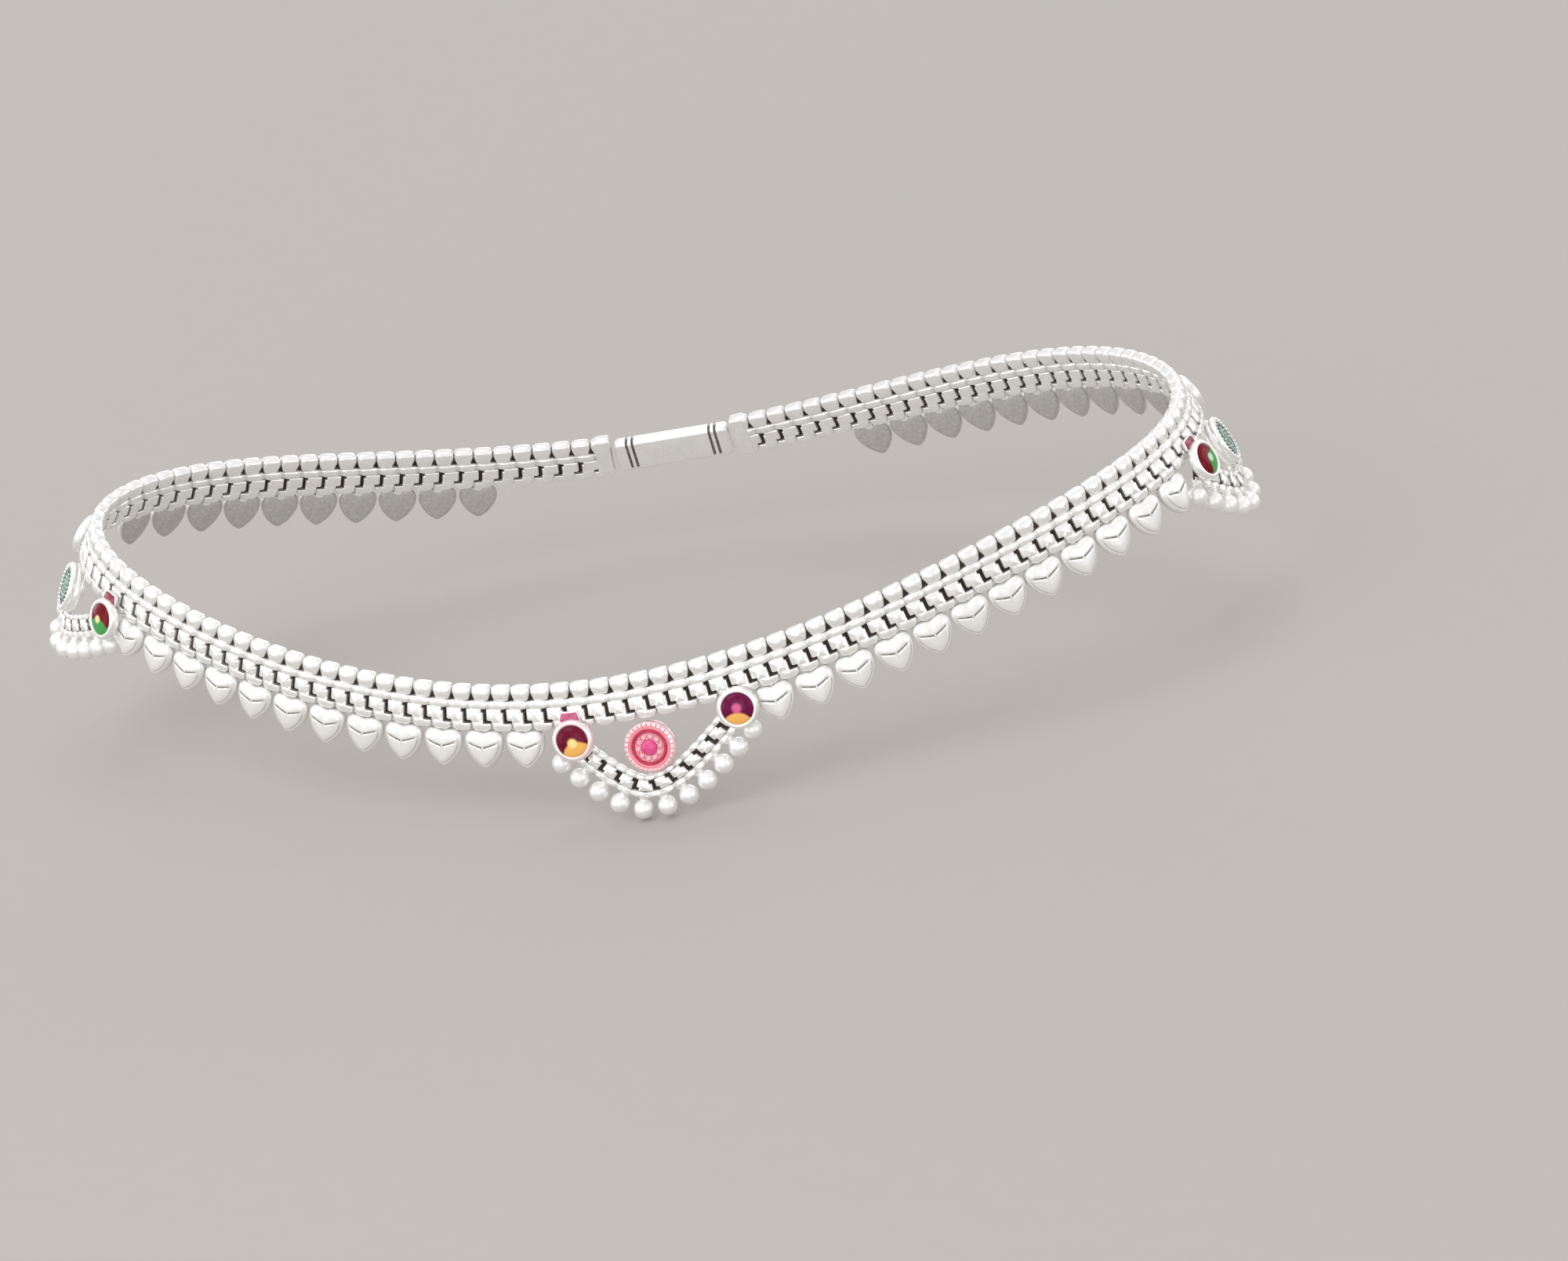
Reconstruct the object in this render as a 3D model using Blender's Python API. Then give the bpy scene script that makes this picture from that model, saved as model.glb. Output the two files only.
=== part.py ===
"""Silver payal anklet in its worn form.

A three-row woven band runs round an oval loop. Heart drops hang from every second link, and three enamelled
motifs sit at the front, the heel and the instep, each with a rosette, two studs and a swag with ball drops.

Pieces are placed in strand coordinates, in metres: s along the chain from the middle of the front motif, w down
the band from its top edge and n outwards from the wearer's skin. In the model's own frame +Z is up the leg, +X
points to the toes, and the origin is the middle of the loop.
"""

import math

import bmesh
import bpy
from mathutils import Matrix, Vector

# Clearance between neighbouring pieces
PIECE_GAP = 0.0003

# Heart drops
HEART_WIDTH = 0.0035
HEART_HEIGHT = 0.0034
HEART_THICKNESS = 0.0012
HEART_SPACE = 0.0003  # between two neighbouring hearts
HEART_POINTS = 14
HEART_FULLNESS = 2.0  # power of the sine: lower gives broader shoulders
HEART_FIELD_SHARE = 0.62  # of the outline, where the puffed front flattens out
HEART_BACK_SHARE = 0.25  # of the thickness, behind the outline's edge
HEART_PUFF_SHARE = 0.85  # of the front's height, where the puffed front flattens out

# The chain: one heart for every two links, and the links fill the loop
LINKS = 136
LINK_PITCH = (HEART_WIDTH + HEART_SPACE) / 2
LOOP_LENGTH = LINKS * LINK_PITCH
NEAR_SIDE_SHARE = 0.75  # of the loop, from the toes' end to the middle of the near side
FRONT_SHIFT = 0.0031  # of the front motif's middle, from the middle of the near side
TANGENT_REACH = LINK_PITCH / 4  # to either side of a point, to find the chain's direction there

# The worn oval, as a sum of waves round the loop. The loop is scaled so that its route is LOOP_LENGTH long.
# Columns: wave number, reach to the toes, reach across, reach up the leg, as shares of the first reach
OVAL_WAVES = (
    (1, 1.000, 0.520, 0.000),
    (2, 0.014, 0.024, 0.094),
    (3, 0.000, 0.000, -0.012),
    (4, 0.000, 0.000, -0.012),
)
# The band leans outwards going down the leg: its mean lean in degrees, then waves 1 to 4 round the loop
FLARE_DEGREES = (16.7, -2.0, 6.6, -1.2, 4.5)
ROUTE_STEPS = 1440
ROUTE_DEPTH = 0.00045  # the route runs this far below the band's top edge

# Woven band
BAND_HEIGHT = 0.0046
BAND_THICKNESS = 0.0012
EDGE_NOTCH = 0.0002  # depth of the notches between links, along both edges
STATIONS_PER_LINK = 2
# The band's section. Columns: share of the height down, share of the thickness out, share of the notch
BAND_SECTION = (
    (0.00, 0.00, 1.0),
    (0.00, 0.75, 1.0),
    (0.14, 1.00, 0.0),
    (0.29, 0.74, 0.0),
    (0.42, 0.96, 0.0),
    (0.54, 0.76, 0.0),
    (0.74, 1.00, 0.0),
    (1.00, 0.75, -1.0),
    (1.00, 0.00, -1.0),
)

# Clasp, at the back of the loop
CLASP_LENGTH = 0.0115
CLASP_HEIGHT = 0.0034
CLASP_THICKNESS = 0.0014
CLASP_ROUNDING = 0.0005

# Motifs: round settings with an enamel field inside a silver rim
SETTING_SIDES = 18
RIM_STEP = 0.00012  # the enamel's edge lies this far below the rim
RIM_SOFTENING = 1 / 3  # of the rim's width, taken off its outer edge
CROWN_SHOULDER = (0.6, 0.75)  # share of the field's radius, and how much of the crown is reached there
ROSETTE_RADIUS = 0.00225
ROSETTE_SHIFT = -0.0003  # of the rosette, from the motif's middle along the chain
ROSETTE_HEIGHT = 0.0014
ROSETTE_RIM = 0.0005
ROSETTE_CROWN = 0.0001
ROSETTE_BACK = 0.0004  # from the skin side of the band to the setting's back
STUD_RADIUS = 0.00197
STUD_HEIGHT = 0.0009
STUD_RIM = 0.00042
STUD_CROWN = 0.0004
STUD_DROP = 0.00085  # of the stud's middle below the band's bottom edge
STUD_LINKS = (-3.55, 4.3)  # where the two studs sit, in links from the motif's middle

# Swag: a strip hung in a rounded V between the studs, with ball drops along its outer edge
SWAG_WIDTH = 0.0022
SWAG_THICKNESS = 0.0009
SWAG_BACK = 0.0001
SWAG_BEND = 0.0026  # how broad the round bottom of the V is
SWAG_LOW = -0.0012  # where the V is lowest, from the motif's middle
SWAG_ENDS = (0.0004, -0.0006)  # how far each end reaches past the stud's middle
SWAG_CLEARANCE = 0.0004  # between the rosette and the strip below it
SWAG_STATIONS = 9  # along each half
SWAG_SAMPLES = 400  # along each half, to space the balls
BALL_RADIUS = 0.00087
BALL_COUNTS = (5, 6)  # on the left half and on the right half
BALL_SIDES = 10
BALL_RINGS = 5
NECK_LENGTH = 0.00022
NECK_RADIUS = 0.00034
NECK_SIDES = 6
BALL_REACH = SWAG_WIDTH / 2 + NECK_LENGTH + BALL_RADIUS  # from the strip's middle line

# Where things sit along the chain, in links from the front motif's middle
MOTIFS = {"front": 0, "heel": -33.7, "instep": 33.7}
SHOWN_HEARTS = [side * link for side in (-1, 1) for link in range(6, 29, 2)]
HIDDEN_HEARTS = [side * link for side in (-1, 1) for link in range(40, 59, 2)]

# Colour, roughness and metallic value of each finish
FINISHES = {
    "silver": ((0.93, 0.92, 0.90), 0.16, 1.0),
    "pink_enamel": ((0.85, 0.16, 0.27), 0.12, 0.0),
    "teal_enamel": ((0.38, 0.60, 0.54), 0.12, 0.0),
    "maroon_enamel": ((0.30, 0.02, 0.08), 0.10, 0.0),
    "green_enamel": ((0.08, 0.42, 0.12), 0.10, 0.0),
}
ROSETTE_ENAMELS = {"front": "pink_enamel", "heel": "teal_enamel", "instep": "teal_enamel"}
STUD_ENAMELS = {"front": "maroon_enamel", "heel": "green_enamel", "instep": "green_enamel"}


def clear_scene():
    """Remove what the start-up scene holds."""
    for item in list(bpy.data.objects):
        bpy.data.objects.remove(item, do_unlink=True)


def oval_point(angle):
    """The oval's point at an angle, before it is scaled to its length."""
    return Vector((
        sum(toes * math.cos(wave * angle) for wave, toes, _, _ in OVAL_WAVES),
        sum(across * math.sin(wave * angle) for wave, _, across, _ in OVAL_WAVES),
        sum(up * math.cos(wave * angle) for wave, _, _, up in OVAL_WAVES),
    ))


def measured_route():
    """The oval's points with their distance along it, scaled to LOOP_LENGTH."""
    angles = [2 * math.pi * i / ROUTE_STEPS for i in range(ROUTE_STEPS + 1)]
    points = [oval_point(angle) for angle in angles]
    along = [0.0]
    for before, after in zip(points, points[1:]):
        along.append(along[-1] + (after - before).length)
    scale = LOOP_LENGTH / along[-1]
    return [point * scale for point in points], [distance * scale for distance in along]


ROUTE_POINTS, ROUTE_ALONG = measured_route()


def route_at(distance):
    """The route's point and angle at a distance from the toes' end."""
    distance %= LOOP_LENGTH
    low, high = 0, ROUTE_STEPS
    while high - low > 1:
        middle = (low + high) // 2
        if ROUTE_ALONG[middle] <= distance:
            low = middle
        else:
            high = middle
    share = (distance - ROUTE_ALONG[low]) / (ROUTE_ALONG[high] - ROUTE_ALONG[low])
    point = ROUTE_POINTS[low].lerp(ROUTE_POINTS[high], share)
    return point, 2 * math.pi * (low + share) / ROUTE_STEPS


def strand_frame(s):
    """The chain's point at s, with its directions along, down and outwards."""
    distance = NEAR_SIDE_SHARE * LOOP_LENGTH + FRONT_SHIFT + s
    point, angle = route_at(distance)
    ahead, behind = route_at(distance + TANGENT_REACH)[0], route_at(distance - TANGENT_REACH)[0]
    along = (ahead - behind).normalized()
    down = Vector((0, 0, -1))
    down = (down - along * down.dot(along)).normalized()
    out = down.cross(along)
    flare = math.radians(
        sum(lean * math.cos(wave * angle) for wave, lean in enumerate(FLARE_DEGREES))
    )
    return (
        point,
        along,
        down * math.cos(flare) + out * math.sin(flare),
        out * math.cos(flare) - down * math.sin(flare),
    )


def strand_point(s, w, n):
    """The place in the model's frame of a point in strand coordinates."""
    point, _, down, out = strand_frame(s)
    return point + down * (w - ROUTE_DEPTH) + out * n


def strand_matrix(s, w, n):
    """A placement at a point of the strand: local X along the chain, Y up the band, Z outwards."""
    _, along, down, out = strand_frame(s)
    turn = Matrix((along, -down, out)).transposed().to_4x4()
    return Matrix.Translation(strand_point(s, w, n)) @ turn


def make_finishes():
    """One Principled material for each finish."""
    made = {}
    for name, (colour, roughness, metallic) in FINISHES.items():
        material = bpy.data.materials.new(name)
        material.use_nodes = True
        shader = material.node_tree.nodes["Principled BSDF"]
        shader.inputs["Base Color"].default_value = (*colour, 1.0)
        shader.inputs["Roughness"].default_value = roughness
        shader.inputs["Metallic"].default_value = metallic
        made[name] = material
    return made


def finish_mesh(name, shape, materials, crease_degrees=40):
    """A mesh with its faces turned outwards and its round stretches shaded smooth."""
    bmesh.ops.recalc_face_normals(shape, faces=shape.faces)
    mesh = bpy.data.meshes.new(name)
    shape.to_mesh(mesh)
    shape.free()
    for material in materials:
        mesh.materials.append(material)
    mesh.shade_smooth()
    mesh.set_sharp_from_angle(angle=math.radians(crease_degrees))
    return mesh


def add_piece(name, mesh, parent, placement=None):
    """An object for one piece, placed and parented to the anklet's empty."""
    piece = bpy.data.objects.new(name, mesh)
    bpy.context.collection.objects.link(piece)
    piece.parent = parent
    if placement is not None:
        piece.location = placement.to_translation()
        piece.rotation_euler = placement.to_euler()
    return piece


def loft(shape, sections):
    """Skin a row of closed sections, each a list of points, and cap both ends."""
    rings = [[shape.verts.new(point) for point in section] for section in sections]
    for before, after in zip(rings, rings[1:]):
        for i in range(len(before)):
            j = (i + 1) % len(before)
            shape.faces.new((before[i], before[j], after[j], after[i]))
    shape.faces.new(list(reversed(rings[0])))
    shape.faces.new(rings[-1])


def turned(shape, profile, sides, enamel_from):
    """Turn a profile of radius and height round Z. Its faces from a given row on are enamel."""
    rings = []
    for radius, height in profile:
        count = sides if radius > 0 else 1
        steps = [2 * math.pi * i / sides for i in range(count)]
        rings.append([
            shape.verts.new((radius * math.cos(a), radius * math.sin(a), height)) for a in steps
        ])
    for row, (before, after) in enumerate(zip(rings, rings[1:])):
        for i in range(sides):
            j = (i + 1) % sides
            corners = [before[i % len(before)], before[j % len(before)], after[j % len(after)]]
            corners.append(after[i % len(after)])
            face = shape.faces.new(list(dict.fromkeys(corners)))
            face.material_index = 1 if row >= enamel_from else 0


def heart_outline():
    """The heart's outline round its middle, from the cleft by the right lobe to the tip and back."""
    raw = []
    for i in range(HEART_POINTS):
        angle = 2 * math.pi * i / HEART_POINTS
        across = math.copysign(abs(math.sin(angle)) ** HEART_FULLNESS, math.sin(angle))
        up = sum(k * math.cos((i + 1) * angle) for i, k in enumerate((13, -5, -2, -1)))
        raw.append((across, up))
    wide = max(x for x, _ in raw) - min(x for x, _ in raw)
    top, low = max(y for _, y in raw), min(y for _, y in raw)
    return [
        (x / wide * HEART_WIDTH, ((y - low) / (top - low) - 0.5) * HEART_HEIGHT) for x, y in raw
    ]


def heart_mesh(materials):
    """A puffed heart with a flatter back, about its own middle."""
    shape = bmesh.new()
    outline = heart_outline()
    back = -HEART_THICKNESS * HEART_BACK_SHARE
    front = HEART_THICKNESS + back
    layers = ((HEART_FIELD_SHARE, back), (1.0, 0.0), (HEART_FIELD_SHARE, front * HEART_PUFF_SHARE))
    rings = [
        [shape.verts.new((x * share, y * share, z)) for x, y in outline] for share, z in layers
    ]
    for before, after in zip(rings, rings[1:]):
        for i in range(HEART_POINTS):
            j = (i + 1) % HEART_POINTS
            shape.faces.new((before[i], before[j], after[j], after[i]))
    for ring, height in ((rings[0], back), (rings[-1], front)):
        middle = shape.verts.new((0, 0, height))
        for i in range(HEART_POINTS):
            shape.faces.new((ring[i], ring[(i + 1) % HEART_POINTS], middle))
    return finish_mesh("heart", shape, materials)


def band_mesh(materials):
    """The woven band from one side of the clasp to the other, with a crest and a notch for each link."""
    shape = bmesh.new()
    reach = (LOOP_LENGTH - CLASP_LENGTH) / 2 - PIECE_GAP
    stations = 2 * STATIONS_PER_LINK * round(reach / LINK_PITCH)
    sections = []
    for i in range(stations + 1):
        s = -reach + 2 * reach * i / stations
        notched = i % STATIONS_PER_LINK == 0
        section = []
        for down, out, notch in BAND_SECTION:
            w = BAND_HEIGHT * down + (EDGE_NOTCH * notch if notched else 0)
            n = BAND_THICKNESS * out - (EDGE_NOTCH if notched and out > 0 else 0)
            section.append(strand_point(s, w, n))
        sections.append(section)
    loft(shape, sections)
    return finish_mesh("woven_band", shape, materials)


def clasp_mesh(materials):
    """A plain closing bar with softened edges, about its own middle."""
    shape = bmesh.new()
    bmesh.ops.create_cube(shape, size=1)
    bmesh.ops.scale(shape, vec=(CLASP_LENGTH, CLASP_HEIGHT, CLASP_THICKNESS), verts=shape.verts)
    bmesh.ops.bevel(
        shape, geom=shape.edges[:], offset=CLASP_ROUNDING, segments=2, profile=0.5, affect="EDGES"
    )
    return finish_mesh("clasp", shape, materials)


def setting_mesh(name, radius, height, rim, crown, materials):
    """A round silver cup with a rim and a crowned enamel field, standing on Z = 0."""
    shape = bmesh.new()
    field = radius - rim
    enamel_edge = height - RIM_STEP
    softened = rim * RIM_SOFTENING
    shoulder_radius, shoulder_rise = CROWN_SHOULDER
    profile = (
        (0, 0),
        (radius, 0),
        (radius, height - softened),
        (radius - softened, height),
        (field, height),
        (field, enamel_edge),
        (field * shoulder_radius, enamel_edge + crown * shoulder_rise),
        (0, enamel_edge + crown),
    )
    turned(shape, profile, SETTING_SIDES, enamel_from=5)
    return finish_mesh(name, shape, materials)


def rosette_depth():
    """How far down the rosette's middle lies: its rim just clears the band."""
    return BAND_HEIGHT + PIECE_GAP + ROSETTE_RADIUS


def swag_reach(side):
    """The distance along the chain from the V's lowest point to the strip's end, on side -1 or 1."""
    end = 0 if side < 0 else 1
    return abs(STUD_LINKS[end] * LINK_PITCH - SWAG_LOW) + SWAG_ENDS[end]


def swag_row(side, share):
    """The strip's middle line at a share of one half: its s and w, and the way out to the balls."""
    low = rosette_depth() + ROSETTE_RADIUS + SWAG_CLEARANCE + SWAG_WIDTH / 2
    high = BAND_HEIGHT + PIECE_GAP + SWAG_WIDTH / 2
    full_rise = math.sqrt((low - high + SWAG_BEND) ** 2 - SWAG_BEND**2)
    rise = full_rise * share
    w = low + SWAG_BEND - math.hypot(rise, SWAG_BEND)
    slope = full_rise * rise / math.hypot(rise, SWAG_BEND) / swag_reach(side)
    length = math.hypot(1, slope)
    s = SWAG_LOW + side * share * swag_reach(side)
    return s, w, (side * slope / length, 1 / length)


def ball_rows():
    """The middle line's rows that carry a ball: the balls are spaced evenly along each half."""
    rows = []
    for side, count in zip((-1, 1), BALL_COUNTS):
        marks = [i / SWAG_SAMPLES for i in range(SWAG_SAMPLES + 1)]
        path = []
        for mark in marks:
            s, w, (ds, dw) = swag_row(side, mark)
            path.append((s + BALL_REACH * ds, w + BALL_REACH * dw))
        along = [0.0]
        for before, after in zip(path, path[1:]):
            along.append(along[-1] + math.dist(before, after))
        spacing = (along[-1] - NECK_RADIUS) / (count - 0.5)
        for k in range(count):
            wanted = spacing * (k + 0.5)
            nearest = min(range(len(marks)), key=lambda i: abs(along[i] - wanted))
            rows.append(swag_row(side, marks[nearest]))
    return rows


def add_joined(name, shape, parent, piece):
    """A hidden helper whose body a Boolean joins to a piece."""
    helper = add_piece(name, finish_mesh(name, shape, []), parent)
    helper.hide_render = True
    helper.display_type = "WIRE"
    join = piece.modifiers.new(name, "BOOLEAN")
    join.operation = "UNION"
    join.solver = "EXACT"
    join.object = helper


def add_swag(name, middle, parent, materials):
    """The strip, with its necks and balls joined to it as soldered metal is."""
    strip = bmesh.new()
    half = SWAG_WIDTH / 2
    low, high = SWAG_BACK, SWAG_BACK + SWAG_THICKNESS
    corners = ((-half, low), (-half, high - EDGE_NOTCH), (-half / 2, high), (half / 2, high),
               (half, high - EDGE_NOTCH), (half, low))
    sections = []
    for i in range(-SWAG_STATIONS, SWAG_STATIONS + 1):
        s, w, (ds, dw) = swag_row(-1 if i < 0 else 1, abs(i) / SWAG_STATIONS)
        sections.append([strand_point(middle + s + v * ds, w + v * dw, n) for v, n in corners])
    loft(strip, sections)
    swag = add_piece(name, finish_mesh(name, strip, materials), parent)

    necks, balls = bmesh.new(), bmesh.new()
    centre_n = (low + high) / 2
    for s, w, (ds, dw) in ball_rows():
        centre = strand_point(middle + s + BALL_REACH * ds, w + BALL_REACH * dw, centre_n)
        root = strand_point(middle + s + half / 2 * ds, w + half / 2 * dw, centre_n)
        turn = (centre - root).to_track_quat("Z", "Y").to_matrix().to_4x4()
        place = Matrix.Translation((centre + root) / 2) @ turn
        bmesh.ops.create_cone(
            necks, cap_ends=True, segments=NECK_SIDES, radius1=NECK_RADIUS, radius2=NECK_RADIUS,
            depth=(centre - root).length, matrix=place,
        )
        bmesh.ops.create_uvsphere(
            balls, u_segments=BALL_SIDES, v_segments=BALL_RINGS, radius=BALL_RADIUS,
            matrix=Matrix.Translation(centre) @ turn,
        )
    add_joined(name + "_necks", necks, parent, swag)
    add_joined(name + "_balls", balls, parent, swag)


def add_motif(name, link, parent, finishes):
    """One motif round a link: its swag, its rosette and its two studs."""
    silver = finishes["silver"]
    middle = link * LINK_PITCH
    add_swag(name + "_swag", middle, parent, [silver])
    rosette = setting_mesh(
        name + "_rosette", ROSETTE_RADIUS, ROSETTE_HEIGHT, ROSETTE_RIM, ROSETTE_CROWN,
        [silver, finishes[ROSETTE_ENAMELS[name]]],
    )
    place = strand_matrix(middle + ROSETTE_SHIFT, rosette_depth(), ROSETTE_BACK)
    add_piece(name + "_rosette", rosette, parent, place)
    stud = setting_mesh(
        name + "_stud", STUD_RADIUS, STUD_HEIGHT, STUD_RIM, STUD_CROWN,
        [silver, finishes[STUD_ENAMELS[name]]],
    )
    for side, links in zip(("left", "right"), STUD_LINKS):
        s = middle + links * LINK_PITCH
        place = strand_matrix(s, BAND_HEIGHT + STUD_DROP, BAND_THICKNESS + PIECE_GAP)
        add_piece(f"{name}_stud_{side}", stud, parent, place)


def add_hearts(parent, silver):
    """The heart drops, shown ones first, each on its own link below the band."""
    mesh = heart_mesh([silver])
    depth = BAND_HEIGHT + PIECE_GAP + HEART_HEIGHT / 2
    out = BAND_THICKNESS / 2
    for number, link in enumerate(SHOWN_HEARTS + HIDDEN_HEARTS, 1):
        add_piece(f"heart_{number:02d}", mesh, parent, strand_matrix(link * LINK_PITCH, depth, out))


def main():
    """Build the whole anklet."""
    clear_scene()
    finishes = make_finishes()
    silver = finishes["silver"]
    anklet = bpy.data.objects.new("anklet", None)
    bpy.context.collection.objects.link(anklet)
    add_piece("woven_band", band_mesh([silver]), anklet)
    add_hearts(anklet, silver)
    for name, link in MOTIFS.items():
        add_motif(name, link, anklet, finishes)
    place = strand_matrix(LOOP_LENGTH / 2, BAND_HEIGHT / 2, BAND_THICKNESS / 2)
    add_piece("clasp", clasp_mesh([silver]), anklet, place)


main()
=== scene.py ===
"""Looks of the silver payal anklet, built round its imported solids.

Every piece is laid out in the strand's own coordinates, in metres: s along the chain from the middle of the
front motif, w down the band from its top edge and n outwards from the band's inner face.
"""

import logging
import math
from collections.abc import Iterable, Sequence
from dataclasses import dataclass, field, replace
from enum import Enum

import bmesh
import bpy
import numpy as np
from mathutils import Matrix, Vector


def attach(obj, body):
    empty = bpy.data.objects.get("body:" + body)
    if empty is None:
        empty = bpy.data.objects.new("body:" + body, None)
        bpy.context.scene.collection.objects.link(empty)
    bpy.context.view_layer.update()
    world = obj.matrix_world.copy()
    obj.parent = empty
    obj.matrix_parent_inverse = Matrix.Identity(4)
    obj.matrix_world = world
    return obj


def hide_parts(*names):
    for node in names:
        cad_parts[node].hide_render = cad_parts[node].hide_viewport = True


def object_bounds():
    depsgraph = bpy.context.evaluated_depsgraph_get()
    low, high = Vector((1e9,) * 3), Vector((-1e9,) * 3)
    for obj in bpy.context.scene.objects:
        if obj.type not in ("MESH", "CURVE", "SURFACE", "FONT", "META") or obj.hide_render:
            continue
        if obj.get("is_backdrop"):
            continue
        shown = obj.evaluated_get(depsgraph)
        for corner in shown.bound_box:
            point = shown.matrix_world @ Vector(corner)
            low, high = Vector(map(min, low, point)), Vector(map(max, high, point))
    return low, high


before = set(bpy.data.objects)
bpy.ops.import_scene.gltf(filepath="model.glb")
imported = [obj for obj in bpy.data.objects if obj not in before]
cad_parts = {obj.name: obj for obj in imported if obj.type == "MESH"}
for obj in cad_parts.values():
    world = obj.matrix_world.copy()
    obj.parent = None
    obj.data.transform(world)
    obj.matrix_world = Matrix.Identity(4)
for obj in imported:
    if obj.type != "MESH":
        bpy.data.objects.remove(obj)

log = logging.getLogger("anklet")

MM = 0.001
# Name of the point value that darkens silver: painted shade in gaps, grooves, creases and joins, together
# with tarnish.
SHADE_AND_TARNISH = "shade_and_tarnish"

# Sizes that several pieces share
PIECE_GAP = 0.3 * MM
BAND_HEIGHT = 4.6 * MM
BAND_THICKNESS = 1.2 * MM
CLASP_LENGTH = 11.5 * MM
ROSETTE_RADIUS = 2.25 * MM  # of the solid, which the beaded bezel reaches past

Colour = tuple[float, float, float]
Profile = Sequence[tuple[float, float]]
Faces = list[tuple[int, ...]]


class Shade:
    """A shader socket that can be used in Python sums."""

    def __init__(self, graph: "Graph", socket: bpy.types.NodeSocket) -> None:
        """Wrap an output socket of a graph."""
        self.graph = graph
        self.socket = socket

    def _math(self, operation: str, *values: "Shade | float") -> "Shade":
        """Add a Math node for one operation on the values."""
        return self.graph.node("ShaderNodeMath", {"operation": operation}, dict(enumerate(values)))

    def __add__(self, other: "Shade | float") -> "Shade":
        """This value plus another."""
        return self._math("ADD", self, other)

    __radd__ = __add__

    def __sub__(self, other: "Shade | float") -> "Shade":
        """This value minus another."""
        return self._math("SUBTRACT", self, other)

    def __rsub__(self, other: "Shade | float") -> "Shade":
        """Another value minus this one."""
        return self._math("SUBTRACT", other, self)

    def __mul__(self, other: "Shade | float") -> "Shade":
        """This value times another."""
        return self._math("MULTIPLY", self, other)

    __rmul__ = __mul__

    def __pow__(self, other: "Shade | float") -> "Shade":
        """This value to a power."""
        return self._math("POWER", self, other)

    def smooth(self, low: float, high: float) -> "Shade":
        """Rise smoothly from 0 at the low value to 1 at the high one.

        Args:
            low: The value that gives 0.
            high: The value that gives 1. It may be the smaller one.

        Returns:
            The eased share, from 0 to 1.
        """
        flipped = high < low
        first, last = (high, low) if flipped else (low, high)
        sockets = {"Value": self, "From Min": first, "From Max": last}
        share = self.graph.node("ShaderNodeMapRange", {"interpolation_type": "SMOOTHSTEP"}, sockets)
        return 1 - share if flipped else share


class Graph:
    """A material's nodes round one Principled shader."""

    def __init__(self, name: str) -> None:
        """Start a material.

        Args:
            name: The material's name.
        """
        self.material = bpy.data.materials.new(name)
        self.material.use_nodes = True
        self.tree = self.material.node_tree
        self.shader = self.tree.nodes["Principled BSDF"]

    def node(
        self,
        kind: str,
        settings: dict[str, object] | None = None,
        sockets: dict[int | str, object] | None = None,
        output: int | str = 0,
    ) -> Shade:
        """Add a node.

        Args:
            kind: The node's type name.
            settings: Its own settings, set first.
            sockets: Values or links of its input sockets, by name or number.
            output: The output socket to give back.

        Returns:
            The wrapped output socket.
        """
        made = self.tree.nodes.new(kind)
        for name, value in (settings or {}).items():
            setattr(made, name, value)
        for key, value in (sockets or {}).items():
            self._feed(made.inputs[key], value)
        return Shade(self, made.outputs[output])

    def _feed(self, entry: bpy.types.NodeSocket, value: object) -> None:
        """Link a wrapped socket to an input, or set the input's value.

        Args:
            entry: The input socket.
            value: The wrapped socket or the plain value.
        """
        if isinstance(value, Shade):
            self.tree.links.new(value.socket, entry)
        else:
            entry.default_value = value

    def place(self) -> Shade:
        """The point's place in its piece's own frame, in metres."""
        return self.node("ShaderNodeTexCoord", output="Object")

    def flat_place(self) -> tuple[Shade, Shade]:
        """The place's two parts across the front of a setting."""
        split = self.node("ShaderNodeSeparateXYZ", sockets={0: self.place()})
        return split, Shade(self, split.socket.node.outputs["Y"])

    def noise(self, size: float, detail: float = 3.0) -> Shade:
        """Cloudy noise whose blotches are about the given size, in metres."""
        sockets = {"Vector": self.place(), "Scale": 1 / size, "Detail": detail}
        return self.node("ShaderNodeTexNoise", sockets=sockets)

    def mix(self, share: Shade | float, first: object, second: object) -> Shade:
        """Mix two colours.

        Args:
            share: How much of the second colour shows.
            first: The first colour or its wrapped socket.
            second: The second colour or its wrapped socket.

        Returns:
            The mixed colour.
        """
        first, second = ((*c, 1.0) if isinstance(c, tuple) else c for c in (first, second))
        return self.node("ShaderNodeMix", {"data_type": "RGBA"}, {0: share, 6: first, 7: second}, 2)

    def bump(self, height: Shade, depth: float) -> Shade:
        """Turn a height into a bumped normal, with its depth in metres."""
        return self.node("ShaderNodeBump", sockets={"Height": height, "Distance": depth, "Strength": 1.0})

    def dress(self, **sockets: object) -> bpy.types.Material:
        """Feed the shader's sockets and give the material back.

        Args:
            **sockets: Values or links, named as the sockets are with _ for a space.

        Returns:
            The finished material.
        """
        for name, value in sockets.items():
            self._feed(self.shader.inputs[name.replace("_", " ")], value)
        return self.material


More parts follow.
